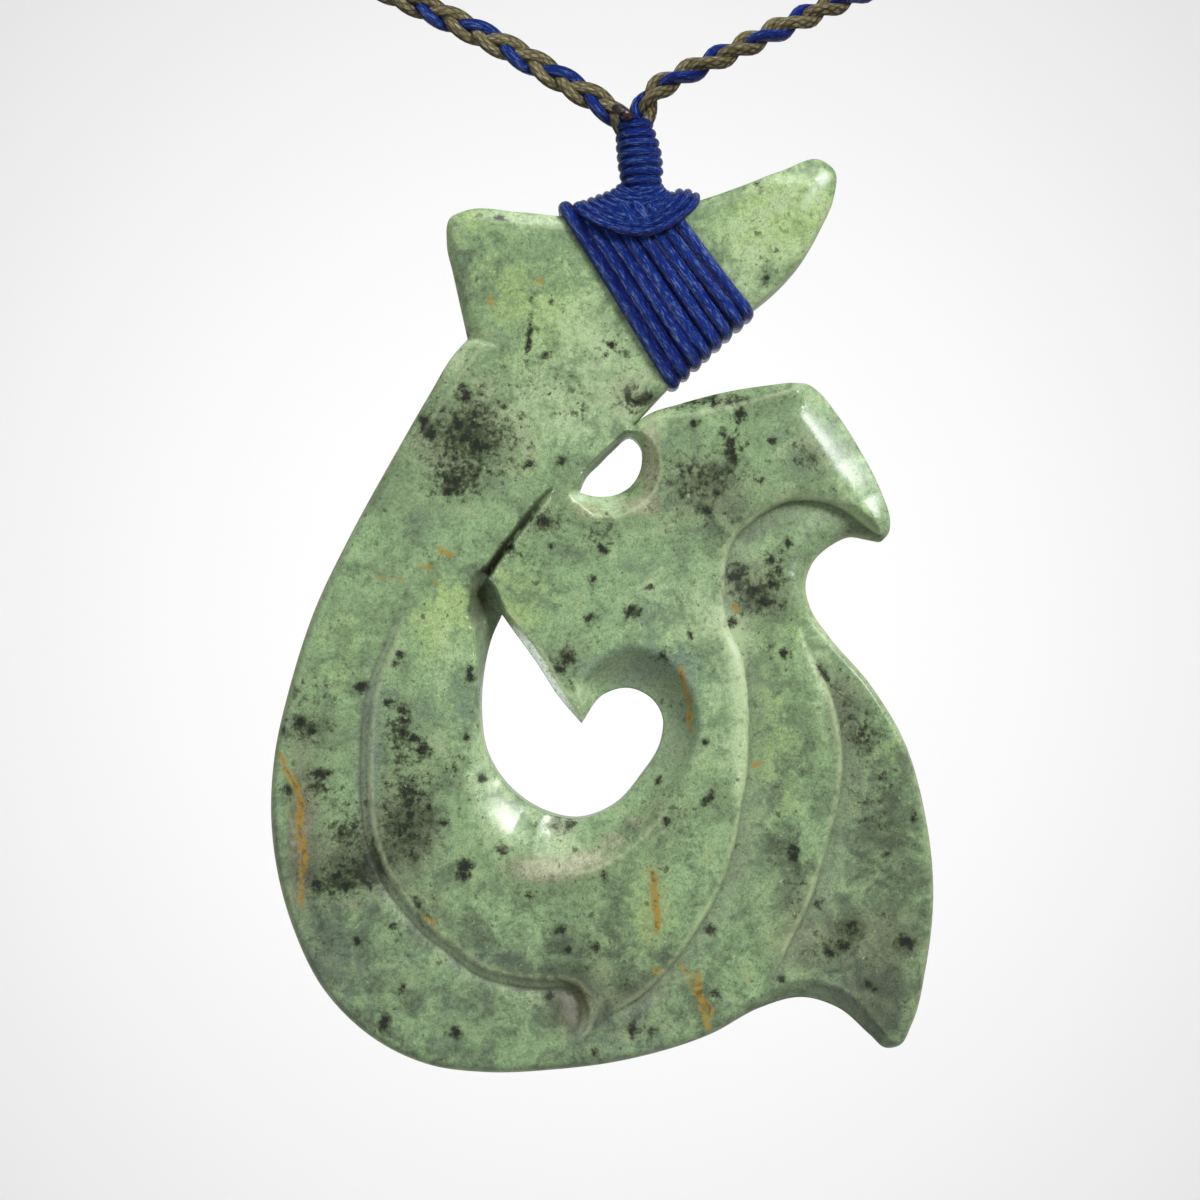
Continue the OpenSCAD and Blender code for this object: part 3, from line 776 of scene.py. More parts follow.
def turned(loop, want):
    # The loop with its area of the wanted sign, so that the stone lies on the left of its way
    x, z = loop.T
    area = (x * np.roll(z, -1) - z * np.roll(x, -1)).sum()
    return loop if np.sign(area) == want else loop[::-1].copy()


def beside(line, distance, closed=False):
    # The line moved to its left
    way = ways(line, closed)
    return line + np.stack([-way[:, 1], way[:, 0]], 1) * np.reshape(distance, (-1, 1))


def atLeast(found, name, values):
    # The found values of this name, and the new ones where they are larger
    found[name] = np.maximum(found[name], values)


def addEdges(points, shape, found):
    # Share s of the edge's width, 1 at the rim, is eased to s^2 (1 + e) / (s + e) and gives the drop; the
    # edge's shade paints light and shade on it; a pale line, painted highlight in part, marks the inner end
    # of a flat edge and the rim of a rolled one
    for loop, values in zip(shape["loops"], shape["edges"]):
        far, at, _ = nearest(points, loop, closed=True)
        width, drop, form, pale = along(values, at, closed=True).T
        share = capped(1 - far / width)
        ease = np.where(form < 0, carve["hollowEase"], np.clip(width - carve["narrow"], *carve["ease"]))
        share = share**2 * (1 + ease) / (share + ease)
        atLeast(found, "edge", drop * edgeDrop(share, form))
        found["shade"] += pale * capped(share * width * carve["shadeRise"])
        crease = bell(far - width, carve["crease"])
        crease = crease * capped(carve["creaseForm"] - form) * capped(carve["creasePale"] + pale)
        rolled = carve["rolledPale"] * bell(far, carve["rolledRim"]) * (form > carve["rolledForm"])
        atLeast(found, "rim", np.maximum(crease, rolled))


def addSteps(points, shape, found):
    # Above the line a quarter round of the rolled share; below it a straight wall as wide as the foot, then
    # depth e^-(away / reach)^power
    for step in shape["steps"]:
        far, at, left = nearest(points, step["line"])
        depth, reach = along(step["values"], at).T
        depth = np.maximum(depth, 0) * step["deep"]
        away = far * left * step["side"]
        under = away > carve["underFrom"]
        upper = capped(1 + away / step["round"])
        high = step["rolled"] * depth * (1 - np.sqrt(1 - upper**2))
        below = depth * np.exp(-((np.abs(away) / reach) ** step["power"]))
        fall = capped(away / step["foot"])
        found["low"] += np.where(under, step["rolled"] * depth * (1 - fall) + below * fall, high)
        # Pale line along the step's upper edge, painted highlight in part
        line = np.where(under, 0, bell(far, carve["stepRim"])) * capped(depth * carve["stepRimRise"])
        atLeast(found, "rim", line * carve["stepRimPale"])
        # Painted shade on the low side, fading out from the foot
        tail = np.maximum(away - step["foot"], 0)
        fade = bell(tail, step["dusk"] * reach) * capped(depth)
        atLeast(found, "wall", np.where(under, fade, 0))
        # Painted light on the rounded upper edge, then a painted shade band on the wall
        found["shade"] += np.where(under, 0, carve["upperPale"] * step["rolled"] * upper * capped(depth))
        band = capped((step["foot"] - away) / carve["bandBlur"]) * capped(depth * carve["bandRise"])
        found["shade"] -= np.where(under, carve["bandDark"] * step["band"] * band, 0)
        # Dark line at the foot of the step, painted shade
        mark = bell(away - step["foot"], carve["footLine"]) * capped(depth * carve["footRise"])
        atLeast(found, "slit", carve["footDark"] * step["band"] * mark)


def addSlits(points, shape, found):
    # Cut of a share s of a side's width: depth (2 s - s^2) towards the stem, depth s^power towards the head
    for k, (line, values) in enumerate(shape["slits"]):
        far, at, left = nearest(points, line)
        depth, stemSide, headSide = along(values, at).T
        inner = (at > 0) & (at < len(line) - 1.0001) | (far < carve["slitEnd"])
        share = np.where(inner, capped(1 - far / np.where(left > 0, headSide, stemSide)), 0)
        cut = np.maximum(depth, 0) * np.where(left > 0, share ** carve["headPower"], 2 * share - share**2)
        atLeast(found, "edge", cut)
        if k == 0:
            # Painted shade in the slit, weaker on the head's side
            weaker = np.where(left > 0, carve["headDark"], 1)
            atLeast(found, "slit", capped(cut / carve["slitDeep"]) * weaker)
            # Painted light on the head's wall of the slit
            found["shade"] = np.where((share > 0) & (left > 0), carve["headPale"], found["shade"])
        else:
            # Painted shade in the pocket
            dark = np.minimum(found["shade"], -capped(share * carve["pocketRise"]))
            found["shade"] = np.where(share > 0, dark, found["shade"])


def frontFace(points, shape):
    # Height = half - dip + wave - steps - edges, and masks of pale rims, painted shade below steps, painted
    # light and shade on walls, and painted shade in slits and at the steps' feet
    found = {name: np.zeros(len(points)) for name in ("rim", "wall", "shade", "slit", "edge", "low")}
    addEdges(points, shape, found)
    addSteps(points, shape, found)
    addSlits(points, shape, found)
    wave = stone["wave"] * ripples(*points.T, stone["ripples"])
    low, edge = found.pop("low"), found.pop("edge")
    return np.maximum(stone["half"] - stone["dip"] + wave - low - edge, stone["thinnest"]), found


# Marks in the jade, read in thirteenths of a millimetre, as seen in front: across from x = -48.92
# and down from z = 8.62. Spots and patches: across, down, half width, half height, and turn or amount

marks = {
    "unit": 1 / 13,
    "corner": (-636 / 13, 112 / 13),
    "blur": 1.5,  # added to the size of a spot or vein
    "backFlip": -6,  # the back has the front's marks at backFlip - x and z - backDrop
    "backDrop": 2,
    "middle": 2,  # depth of stone over which the front's marks give way to the back's
    "spots": [
        (477, 444, 10, 7, 20), (429, 433, 7, 6, 0), (458, 480, 7, 4, 0), (740, 414, 5, 9, 10),
        (730, 446, 5, 9, -10), (732, 457, 5, 4, 0), (723, 432, 4, 4, 0), (694, 423, 5, 3, -20),
        (773, 440, 4, 3, 0), (762, 479, 3, 2, 0), (789, 542, 4, 5, 0), (771, 559, 5, 4, 0),
        (779, 569, 4, 5, 0), (737, 574, 9, 7, 0), (731, 622, 5, 4, 0), (650, 587, 3, 2, 0),
        (690, 634, 2, 3, 0), (784, 653, 4, 4, 0), (822, 671, 3, 10, -35), (705, 742, 3, 3, 0),
        (716, 493, 4, 5, 0), (708, 509, 4, 6, -30), (765, 600, 8, 6, 0), (752, 590, 7, 6, 0),
        (772, 585, 5, 4, 0), (708, 797, 4, 9, 35), (666, 821, 4, 4, 0), (659, 781, 2, 5, 20),
        (794, 855, 5, 8, 0), (793, 846, 4, 5, 0), (604, 874, 3, 3, 0), (596, 948, 5, 5, 0),
        (883, 777, 3, 3, 0), (887, 853, 3, 3, 0), (868, 983, 5, 4, 30), (874, 988, 4, 3, 30),
        (818, 904, 2, 6, -20), (711, 930, 5, 5, 0), (632, 1027, 4, 6, 0), (651, 1031, 4, 4, 0),
        (594, 1051, 3, 3, 0), (782, 979, 3, 3, 0), (716, 994, 4, 3, 0), (830, 952, 7, 4, 0),
        (843, 945, 6, 5, 0), (852, 925, 7, 4, 0), (905, 942, 8, 5, 30), (914, 816, 3, 5, 0),
        (361, 686, 6, 5, 0), (326, 695, 2, 2, 0), (300, 722, 6, 4, 0), (311, 731, 5, 3, 0),
        (284, 730, 3, 4, 0), (320, 773, 9, 5, 0), (313, 785, 5, 4, 0), (288, 790, 5, 4, 0),
        (344, 834, 6, 4, 0), (369, 860, 8, 12, 0), (375, 870, 8, 6, 30), (336, 875, 7, 4, -30),
        (347, 885, 9, 5, -20), (316, 884, 6, 6, 0), (403, 732, 5, 4, 0), (413, 738, 6, 3, 30),
        (423, 748, 6, 9, 0), (395, 664, 3, 3, 0), (400, 654, 4, 3, 0), (470, 672, 3, 8, 0),
        (466, 737, 3, 3, 0), (482, 779, 4, 3, 0), (402, 710, 4, 4, 0), (428, 807, 3, 6, 0),
        (444, 822, 6, 3, 0), (465, 868, 7, 9, 30), (463, 876, 7, 5, 0), (503, 849, 5, 5, 45),
        (529, 895, 4, 3, 0), (417, 903, 2, 9, -30), (428, 920, 7, 3, 30), (393, 926, 4, 3, 0),
        (357, 941, 5, 3, 20), (402, 989, 2, 6, 35), (383, 1024, 4, 9, 10), (456, 1033, 5, 5, 0),
        (560, 930, 6, 5, 0), (567, 950, 4, 4, 45), (549, 996, 5, 4, 0), (388, 702, 4, 3, 0),
        (429, 431, 9, 9, 0), (425, 421, 5, 6, 0), (478, 446, 12, 8, 0), (466, 437, 7, 6, 0),
        (458, 422, 6, 8, 0), (476, 472, 6, 4, -40), (446, 478, 3, 5, 0), (447, 490, 3, 4, 0),
        (455, 489, 4, 3, 0), (464, 386, 4, 4, 0), (466, 395, 4, 6, 0), (528, 464, 7, 3, -5),
        (561, 460, 5, 4, 0), (499, 217, 4, 2, 0), (552, 302, 3, 3, 0), (529, 336, 1.6, 26, 4),
        (636, 400, 6, 4, 0), (650, 398, 4, 6, 40), (612, 345, 4, 3, -30), (545, 355, 5, 3, 0),
        (766, 278, 3, 6, 25), (545, 519, 5, 4, 0), (538, 523, 4, 3, 0), (552, 545, 3, 2, -40),
        (601, 546, 2, 7, -35), (605, 551, 4, 3, 0), (592, 580, 3, 5, 0), (632, 611, 8, 6, 0),
        (590, 617, 3, 7, 30), (566, 658, 6, 8, 0), (560, 668, 5, 4, 0), (511, 547, 5, 4, 0),
        (663, 656, 5, 3, 40), (470, 676, 3, 7, 0), (607, 516, 4, 3, 0),
    ],
    "specks": [
        (700, 400, 60, 8, 0.9), (575, 800, 16, 20, 0.4), (395, 745, 20, 30, 0.6), (420, 780, 24, 30, 0.4),
        (540, 560, 16, 12, 0.4), (870, 740, 24, 40, 0.45), (300, 690, 24, 16, 0.5),
        (350, 800, 24, 30, 0.35), (468, 436, 52, 44, 0.95), (455, 485, 22, 16, 0.8),
        (705, 475, 44, 24, 0.75), (697, 515, 30, 26, 0.45), (735, 440, 12, 25, 0.5),
        (762, 596, 28, 22, 0.85), (735, 570, 14, 20, 0.8), (808, 460, 16, 14, 0.6), (775, 560, 14, 20, 0.5),
        (840, 700, 14, 26, 0.5), (862, 732, 16, 16, 0.55), (870, 822, 22, 20, 0.5), (828, 950, 24, 9, 0.85),
        (852, 930, 18, 13, 0.8), (905, 945, 18, 10, 0.7), (872, 958, 14, 8, 0.4), (880, 912, 14, 8, 0.6),
        (600, 885, 14, 12, 0.4), (628, 986, 16, 9, 0.6), (303, 726, 24, 12, 0.8), (318, 786, 18, 18, 0.6),
        (290, 790, 8, 10, 0.7), (345, 832, 22, 14, 0.8), (352, 872, 30, 22, 0.9), (375, 865, 16, 24, 0.9),
        (325, 885, 22, 12, 0.7), (390, 702, 10, 10, 0.5), (404, 722, 8, 22, 0.7), (407, 792, 14, 10, 0.5),
        (408, 820, 28, 24, 0.9), (410, 850, 18, 16, 0.6), (452, 763, 13, 13, 0.6), (529, 895, 14, 8, 0.6),
        (564, 822, 18, 9, 0.5), (425, 910, 16, 14, 0.6), (395, 935, 10, 14, 0.4), (322, 943, 14, 10, 0.4),
        (596, 948, 16, 14, 0.5), (580, 968, 10, 6, 0.5), (545, 520, 20, 14, 0.6), (600, 535, 22, 16, 0.5),
        (566, 660, 16, 18, 0.7), (590, 620, 10, 22, 0.4), (616, 345, 24, 16, 0.5), (640, 398, 22, 14, 0.7),
        (578, 411, 14, 12, 0.5), (560, 380, 40, 30, 0.2), (760, 185, 12, 5, 0.7), (766, 270, 12, 18, 0.15),
        (663, 655, 16, 8, 0.5), (795, 855, 14, 20, 0.4), (670, 810, 24, 24, 0.35), (805, 905, 30, 18, 0.35),
        (645, 1035, 30, 14, 0.4), (480, 700, 14, 30, 0.3), (430, 560, 20, 14, 0.3), (870, 790, 30, 20, 0.3),
        (330, 700, 20, 20, 0.2), (383, 1025, 10, 14, 0.5), (780, 650, 20, 20, 0.3),
        (574, 1003, 9, 18, 0.25), (548, 524, 12, 10, 0.3), (563, 828, 16, 9, 0.3), (512, 552, 9, 7, 0.4),
    ],
    "haze": [
        (470, 440, 66, 60, 0.2), (700, 490, 70, 46, 0.25), (300, 790, 30, 90, 0.2), (345, 860, 50, 40, 0.2),
        (410, 830, 40, 50, 0.2), (405, 725, 30, 50, 0.25), (850, 700, 24, 60, 0.25),
        (850, 930, 70, 50, 0.25), (760, 590, 44, 40, 0.2), (640, 392, 50, 26, 0.15), (720, 398, 60, 8, 0.4),
        # The first row here darkens the curl at the groove's end as painted shade
        (573, 1003, 12, 22, 0.4), (300, 845, 12, 60, 0.35), (654, 900, 10, 40, 0.3),
        (468, 438, 58, 50, 0.5), (700, 485, 48, 34, 0.45), (757, 592, 34, 28, 0.5), (812, 455, 26, 24, 0.4),
        (400, 830, 34, 44, 0.5), (350, 865, 45, 34, 0.6), (305, 800, 20, 60, 0.3), (845, 938, 46, 26, 0.5),
        (800, 960, 24, 12, 0.3), (905, 940, 24, 24, 0.4), (670, 820, 30, 26, 0.3), (850, 720, 20, 40, 0.35),
        (590, 1000, 60, 50, 0.35), (640, 990, 30, 12, 0.4), (570, 650, 24, 26, 0.35),
        (545, 520, 24, 16, 0.35), (600, 530, 24, 12, 0.25), (310, 728, 30, 14, 0.35),
        (560, 825, 26, 10, 0.4), (790, 890, 20, 40, 0.25), (735, 860, 12, 40, 0.3),
        (880, 1000, 40, 30, 0.3), (320, 960, 40, 40, 0.3), (430, 915, 24, 24, 0.35),
        (400, 980, 50, 30, 0.2), (495, 300, 30, 60, 0.15), (630, 395, 30, 20, 0.3), (860, 530, 26, 10, 0.7),
    ],
    # Yellow-green above 0, grey-blue below
    "tone": [
        (790, 205, 80, 50, 0.6), (850, 627, 40, 40, -0.3), (533, 416, 40, 40, 0.3), (744, 310, 50, 40, 0.2),
        (370, 740, 30, 80, -0.2), (380, 690, 20, 40, -0.2), (440, 700, 30, 50, -0.3),
        (520, 740, 60, 60, -0.3), (840, 620, 30, 40, 0.3), (300, 960, 60, 60, -0.3),
        (760, 700, 30, 80, 0.3), (760, 240, 70, 45, 0.35), (590, 320, 60, 45, 0.4), (500, 290, 50, 60, 0.3),
        (470, 215, 40, 20, 0.4), (800, 628, 18, 30, 0.35), (430, 640, 30, 36, 0.5),
        (345, 655, 30, 40, 0.35), (885, 760, 22, 40, 0.2), (520, 600, 34, 34, 0.5),
        (655, 915, 36, 50, 0.35), (600, 503, 36, 14, 0.9), (850, 480, 30, 20, 0.2), (700, 760, 20, 60, 0.3),
        (450, 600, 26, 40, 0.5), (815, 440, 34, 44, -0.5), (560, 420, 50, 40, -0.5),
        (430, 520, 60, 40, -0.2), (650, 600, 40, 50, -0.4), (640, 668, 60, 20, -1.0),
        (690, 720, 16, 50, -0.7), (780, 760, 30, 70, 0.25), (330, 960, 50, 60, -0.5),
        (450, 1020, 60, 40, -0.4), (850, 850, 50, 60, -0.2), (860, 990, 60, 40, -0.7),
        (620, 1040, 60, 30, -0.6), (370, 760, 10, 90, -0.8), (470, 960, 70, 14, -0.6),
        (735, 600, 12, 70, -0.7), (500, 700, 24, 60, -0.4), (680, 500, 40, 30, -0.2),
        (545, 310, 60, 70, 0.2),
    ],
    # Painted light above 0 and painted shade below, together with paler and darker patches of the jade
    "light": [
        # Painted highlight: the streak of light on the tail's tip, over this row and the first of the next
        (826, 176, 6, 8, 1.8), (820, 183, 4, 6, 1.4), (814, 190, 3.5, 6, 1.3), (808, 198, 3, 6, 1.1),
        (803, 206, 2.5, 6, 0.9), (744, 521, 50, 40, -0.25), (533, 627, 40, 40, -0.2),
        (744, 640, 45, 45, 0.3), (533, 720, 50, 50, 0.45), (850, 627, 40, 40, 0.35),
        (639, 740, 50, 40, 0.3), (430, 730, 40, 40, 0.2), (428, 838, 40, 45, -0.25),
        (530, 838, 45, 30, 0.25), (639, 838, 40, 40, -0.3), (744, 838, 50, 50, -0.3),
        (330, 1040, 50, 40, 0.3), (480, 1050, 90, 30, 0.25), (744, 1045, 60, 40, 0.6),
        (533, 640, 40, 40, 0.15), (639, 640, 40, 40, 0.2), (744, 310, 60, 40, 0.2),
        (320, 620, 40, 60, 0.15), (639, 416, 40, 40, 0.3), (744, 300, 50, 40, 0.2),
        (800, 205, 90, 50, -0.15), (900, 930, 14, 12, 0.5), (450, 235, 50, 40, -0.3),
        (610, 330, 50, 50, 0.45), (640, 410, 40, 40, 0.5), (520, 400, 50, 40, 0.4),
        (740, 520, 50, 50, -0.4), (735, 630, 30, 60, 0.35), (690, 740, 40, 60, 0.4),
        (420, 840, 50, 50, -0.3), (500, 720, 30, 60, 0.5), (480, 620, 30, 60, 0.2),
        (870, 840, 60, 60, -0.3), (460, 440, 60, 60, 0.3), (430, 930, 50, 40, -0.3),
        # Painted shade: the second and third rows here darken the curl at the groove's end and the pocket
        # under the slit
        (630, 930, 60, 40, -0.3), (574, 1003, 12, 20, -2.2), (478, 602, 12, 36, -2.2),
        (576, 496, 8, 7, 1.2), (690, 612, 30, 40, 0.4), (586, 690, 12, 16, 1.0), (820, 640, 30, 40, 0.4),
        # The last row here and the first of the next paint shade towards the bottom and light towards the
        # top right
        (302, 830, 6, 50, -0.8), (740, 720, 7, 80, 0.6), (600, 1150, 600, 260, -0.45),
        (850, 100, 360, 260, 0.35), (505, 222, 60, 10, 0.4), (557, 864, 52, 20, 0.8),
        (610, 503, 34, 12, 0.6), (800, 200, 40, 60, 0.3), (305, 830, 14, 40, 0.4), (350, 885, 26, 14, 0.3),
        (500, 815, 36, 40, 0.6), (745, 240, 60, 60, 0.35), (728, 760, 14, 90, 0.55),
        (736, 620, 14, 50, 0.5), (590, 340, 50, 60, 0.4), (560, 430, 60, 50, 0.3), (650, 600, 40, 60, 0.25),
        (440, 352, 30, 16, 0.8), (475, 335, 14, 10, 0.4), (445, 640, 24, 60, 0.4), (490, 720, 20, 60, 0.6),
        (850, 470, 26, 40, 0.4), (780, 450, 30, 40, 0.25), (820, 700, 8, 60, 0.35),
        (520, 960, 70, 50, -0.3), (600, 1000, 90, 60, -0.45), (890, 850, 50, 120, -0.65),
        (880, 1000, 60, 50, -0.7), (340, 960, 60, 80, -0.35), (475, 260, 30, 50, -0.35),
        (775, 600, 30, 50, -0.35), (370, 560, 40, 60, -0.25), (785, 830, 30, 140, -0.4),
        (300, 860, 30, 70, -0.35), (400, 820, 40, 50, -0.25), (690, 790, 50, 60, -0.15),
        (320, 700, 30, 60, -0.2), (560, 560, 40, 60, -0.15), (730, 1020, 60, 40, -0.4),
        (400, 1030, 60, 40, -0.3),
    ],
    # Cream veil, brownish pink where it is weak
    "cream": [
        # The first row, on the small hole's right wall, also lightens it as painted light
        (650, 458, 9, 30, 1.3), (302, 840, 16, 70, 0.35), (640, 505, 24, 10, 0.9), (585, 510, 16, 9, 0.8),
        (300, 800, 14, 70, 0.3), (340, 880, 60, 20, 0.22), (700, 392, 60, 6, 0.25),
        (650, 1030, 40, 12, 0.25), (552, 872, 34, 12, 0.9), (590, 860, 24, 11, 0.8),
        (614, 840, 16, 10, 0.7), (635, 822, 14, 10, 0.6), (655, 800, 10, 14, 0.4), (526, 864, 24, 14, 0.5),
        (298, 838, 10, 24, 0.5), (345, 905, 40, 6, 0.4), (905, 945, 14, 10, 0.5),
    ],
    # Rust veins: half width, then across and down along the vein
    "rust": [
        (3.0, (281, 755), (286, 770), (295, 784), (301, 805)),
        (4.0, (301, 805), (299, 826), (304, 850), (303, 866)), (2.2, (303, 866), (301, 884), (302, 906)),
        (3.6, (652, 872), (655, 888), (655, 906), (658, 928)),
        (2.4, (681, 965), (691, 981), (699, 998), (708, 1027)), (2.2, (698, 972), (701, 998)),
        (2.4, (680, 668), (689, 700), (691, 731)), (2.4, (655, 971), (663, 973)),
        (2.4, (734, 605), (737, 609)), (1.9, (438, 548), (450, 555)), (1.1, (418, 566), (431, 567)),
        (0.9, (375, 577), (405, 578)), (1.2, (435, 580), (437, 584)), (2, (755, 765), (762, 763)),
        (1.5, (488, 296), (492, 303)), (1.6, (538, 278), (542, 282)), (2, (423, 918), (434, 922)),
        (1.6, (705, 1000), (712, 1012)),
    ],
}


def patches(x, y, rows, soft):
    # At the elliptical distance d from a row's place, soft patches add amount e^-(d^2), and spots keep the
    # largest 1 - d
    total = np.zeros(len(x)) if soft else np.full(len(x), -1.0)
    for across, down, wide, high, last in rows:
        turn = 0 if soft else math.radians(last)
        u = (x - across) * math.cos(turn) + (y - down) * math.sin(turn)
        v = (y - down) * math.cos(turn) - (x - across) * math.sin(turn)
        if soft:
            total += last * np.exp(-((u / wide) ** 2) - (v / high) ** 2)
        else:
            total = np.maximum(total, 1 - np.hypot(u / (wide + marks["blur"]), v / (high + marks["blur"])))
    return total


markNames = ("specks", "haze", "tone", "light", "cream")


def marksAt(x, z):
    # Amount of every kind of mark at places of the stone; a vein's is 1 - distance over half width
    x = (x - marks["corner"][0]) / marks["unit"]
    y = (marks["corner"][1] - z) / marks["unit"]
    found = {"spots": patches(x, y, marks["spots"], False)}
    for name in markNames:
        found[name] = patches(x, y, marks[name], True)
    rust = np.full(len(x), -1.0)
    for half, *vein in marks["rust"]:
        far = nearest(np.stack([x, y], 1), np.array(vein, float))[0]
        rust = np.maximum(rust, 1 - far / (half + marks["blur"]))
    return {**found, "rust": rust}


def stoneShape():
    # Outline and holes as loops of samples with their edges' values, and the steps' and slits' lines
    gap = stone["edgeGap"]
    outline = evenly(loopThrough(stone["outline"], stone["outlineGap"]), stone["outlineEven"])
    holes = [turned(loopThrough(stone[name], gap), -1) for name in ("smallHole", "largeHole")]
    loops = [turned(waisted(outline), 1), *holes]
    names = ("outline", "smallHole", "largeHole")
    edges = [valuesOn(loop, stone[name + "Edge"]) for loop, name in zip(loops, names)]
    steps = []
    for step in stone["steps"]:
        line = smoothThrough(step["rows"], gap)
        steps.append({**step, "line": line[:, :2], "values": line[:, 2:]})
    slits = [smoothThrough(rows, gap) for rows in stone["slits"]]
    return {"loops": loops, "edges": edges, "steps": steps, "slits": [(s[:, :2], s[:, 2:]) for s in slits]}


def facePoints(shape):
    # Lines that the mesh keeps, and free points: lines beside every edge, step and slit, then a grid
    loops, steps, slits = shape["loops"], shape["steps"], shape["slits"]
    fixed = [(loop, True) for loop in loops] + [(slits[0][0], False), (slits[1][0][1:-1], False)]
    free = []
    for step in steps:
        line, side = step["line"], step["side"]
        fixed += [(line, False), (beside(line, side * step["foot"]), False)]
        free += [beside(line, side * d) for d in stone["besideStep"]]
    for loop, values in zip(loops, shape["edges"]):
        free += [beside(loop, values[:, 0] * d, True) for d in stone["besideEdge"]]
    for line, values in slits:
        for share in stone["besideSlit"]:
            free += [beside(line, -share * values[:, 1]), beside(line, share * values[:, 2])]
    low, high = loops[0].min(0), loops[0].max(0)
    gap = stone["faceGap"]
    across, up = np.arange(low[0], high[0], gap), np.arange(low[1], high[1], gap * stone["rowShare"])
    gx, gz = np.meshgrid(across, up)
    gx = gx + (np.arange(len(gx)) % 2)[:, None] * gap / 2
    grid = np.stack([gx.ravel(), gz.ravel()], 1)
    kept = []
    for points, clear in ((np.vstack(free), stone["ringClear"]), (grid, stone["gridClear"])):
        points = points[inStone(points, loops)]
        away = np.min([nearest(points, line, closed)[0] for line, closed in fixed], 0)
        kept.append(points[away > clear])
    return fixed, kept


def inStone(points, loops):
    # Inside the outline and outside both holes
    return inside(points, loops[0]) & ~inside(points, loops[1]) & ~inside(points, loops[2])


def triangulated(fixed, kept, loops):
    # Constrained triangulation: its points and triangles, and for each loop the numbers of its points in it
    points, pairs, starts = [], [], []
    count = 0
    for line, closed in fixed:
        starts.append(count)
        i = np.arange(len(line)) + count
        pairs.append(np.stack([i, np.roll(i, -1)], 1) if closed else np.stack([i[:-1], i[1:]], 1))
        points.append(line)
        count += len(line)
    points = np.vstack([*points, *kept])
    made = delaunay_2d_cdt(points.tolist(), np.vstack(pairs).tolist(), [], 0, stone["merge"], True)
    flat = np.array([tuple(p) for p in made[0]])
    faces = np.array(made[2])
    faces = faces[inStone(flat[faces].mean(1), loops)]
    number = np.full(len(points), -1)
    for n, sources in enumerate(made[3]):
        number[list(sources)] = n
    return flat, faces, [number[np.arange(len(loop)) + start] for loop, start in zip(loops, starts)]


def backFace(flat, height, far):
    # Depth of the plain back, rolled at its rim, and both faces held at the seat's depth under the turns
    roll = stone["backRoll"]
    rear = stone["half"] - stone["backDip"] - roll * edgeDrop(capped(1 - far / roll), np.ones(len(flat)))
    within, w, bottom, top = lashPlace(flat)
    seated = within & (w > bottom - stone["seatMargin"]) & (w < top + stone["seatMargin"])
    height = np.where(seated, np.minimum(height, stone["seat"]), height)
    return height, np.where(seated, stone["seat"], rear)


def makeStone():
    # Front y = -h(x, z) and back y = +b(x, z) on one triangulation of the outline, and walls between them
    shape = stoneShape()
    loops = shape["loops"]
    flat, faces, rims = triangulated(*facePoints(shape), loops)
    height, masks = frontFace(flat, shape)
    far = np.min([nearest(flat, loop, True)[0] for loop in loops], 0)
    height, rear = backFace(flat, height, far)
    n = len(flat)
    spots = [np.stack([flat[:, 0], -height, flat[:, 1]], 1), np.stack([flat[:, 0], rear, flat[:, 1]], 1)]
    quads, wallShare, wallOf = [], [], []
    total = 2 * n
    for rim in rims:
        columns = [rim]
        for level in stone["wallLevels"]:
            spots.append(spots[0][rim] * (1 - level) + spots[1][rim] * level)
            columns.append(np.arange(len(rim)) + total)
            wallShare.append(np.full(len(rim), level))
            wallOf.append(rim)
            total += len(rim)
        columns.append(rim + n)
        for a, b in zip(columns[:-1], columns[1:]):
            quads.append(np.stack([a, b, np.roll(b, -1), np.roll(a, -1)], 1))
    faces = [*faces.tolist(), *(faces[:, ::-1] + n).tolist(), *np.vstack(quads).tolist()]
    spots = np.vstack(spots)
    used = np.zeros(len(spots), bool)
    used[np.concatenate([np.ravel(f) for f in faces])] = True
    number = np.cumsum(used) - 1
    faces = [[int(number[v]) for v in f] for f in faces]
    piece = addMesh("carved_stone", place(spots[used]), faces)
    wallOf, wallShare = np.concatenate(wallOf), np.concatenate(wallShare)
    for name, value in masks.items():
        # The back has only its rim's pale line, painted highlight in part; its other masks are 0
        other = carve["backPale"] * bell(far, carve["backRim"]) if name == "rim" else np.zeros(n)
        wall = value[wallOf] * (1 - wallShare) + other[wallOf] * wallShare
        addValues(piece, name, np.concatenate([value, other, wall])[used])
    x, y, z = spots[used].T
    front, behind = marksAt(x, z), marksAt(marks["backFlip"] - x, z - marks["backDrop"])
    share = capped(0.5 + y / marks["middle"])
    for name in front:
        addValues(piece, name, front[name] * (1 - share) + behind[name] * share)
    print("stone", len(piece.data.vertices), "vertices", len(faces), "faces")
    finished(piece, "jade_carving")


makeStone()


# Materials


def colour(red, green, blue):
    # Screen values of 0 to 255 as the linear values of a colour socket
    c = np.array([red, green, blue]) / 255
    return (*np.where(c <= 0.04045, c / 12.92, ((c + 0.055) / 1.055) ** 2.4).tolist(), 1.0)


def node(tree, kind, inputs=(), **settings):
    # A node with its settings; each input takes a plain value or another node's output
    made = tree.nodes.new("ShaderNode" + kind)
    for name, value in settings.items():
        setattr(made, name, value)
    for name, value in dict(inputs).items():
        if isinstance(value, bpy.types.NodeSocket):
            tree.links.new(value, made.inputs[name])
        else:
            made.inputs[name].default_value = value
    return made


def calc(tree, operation, a, b=0.0):
    # One operation on one or two values
    return node(tree, "Math", {0: a, 1: b}, operation=operation).outputs[0]


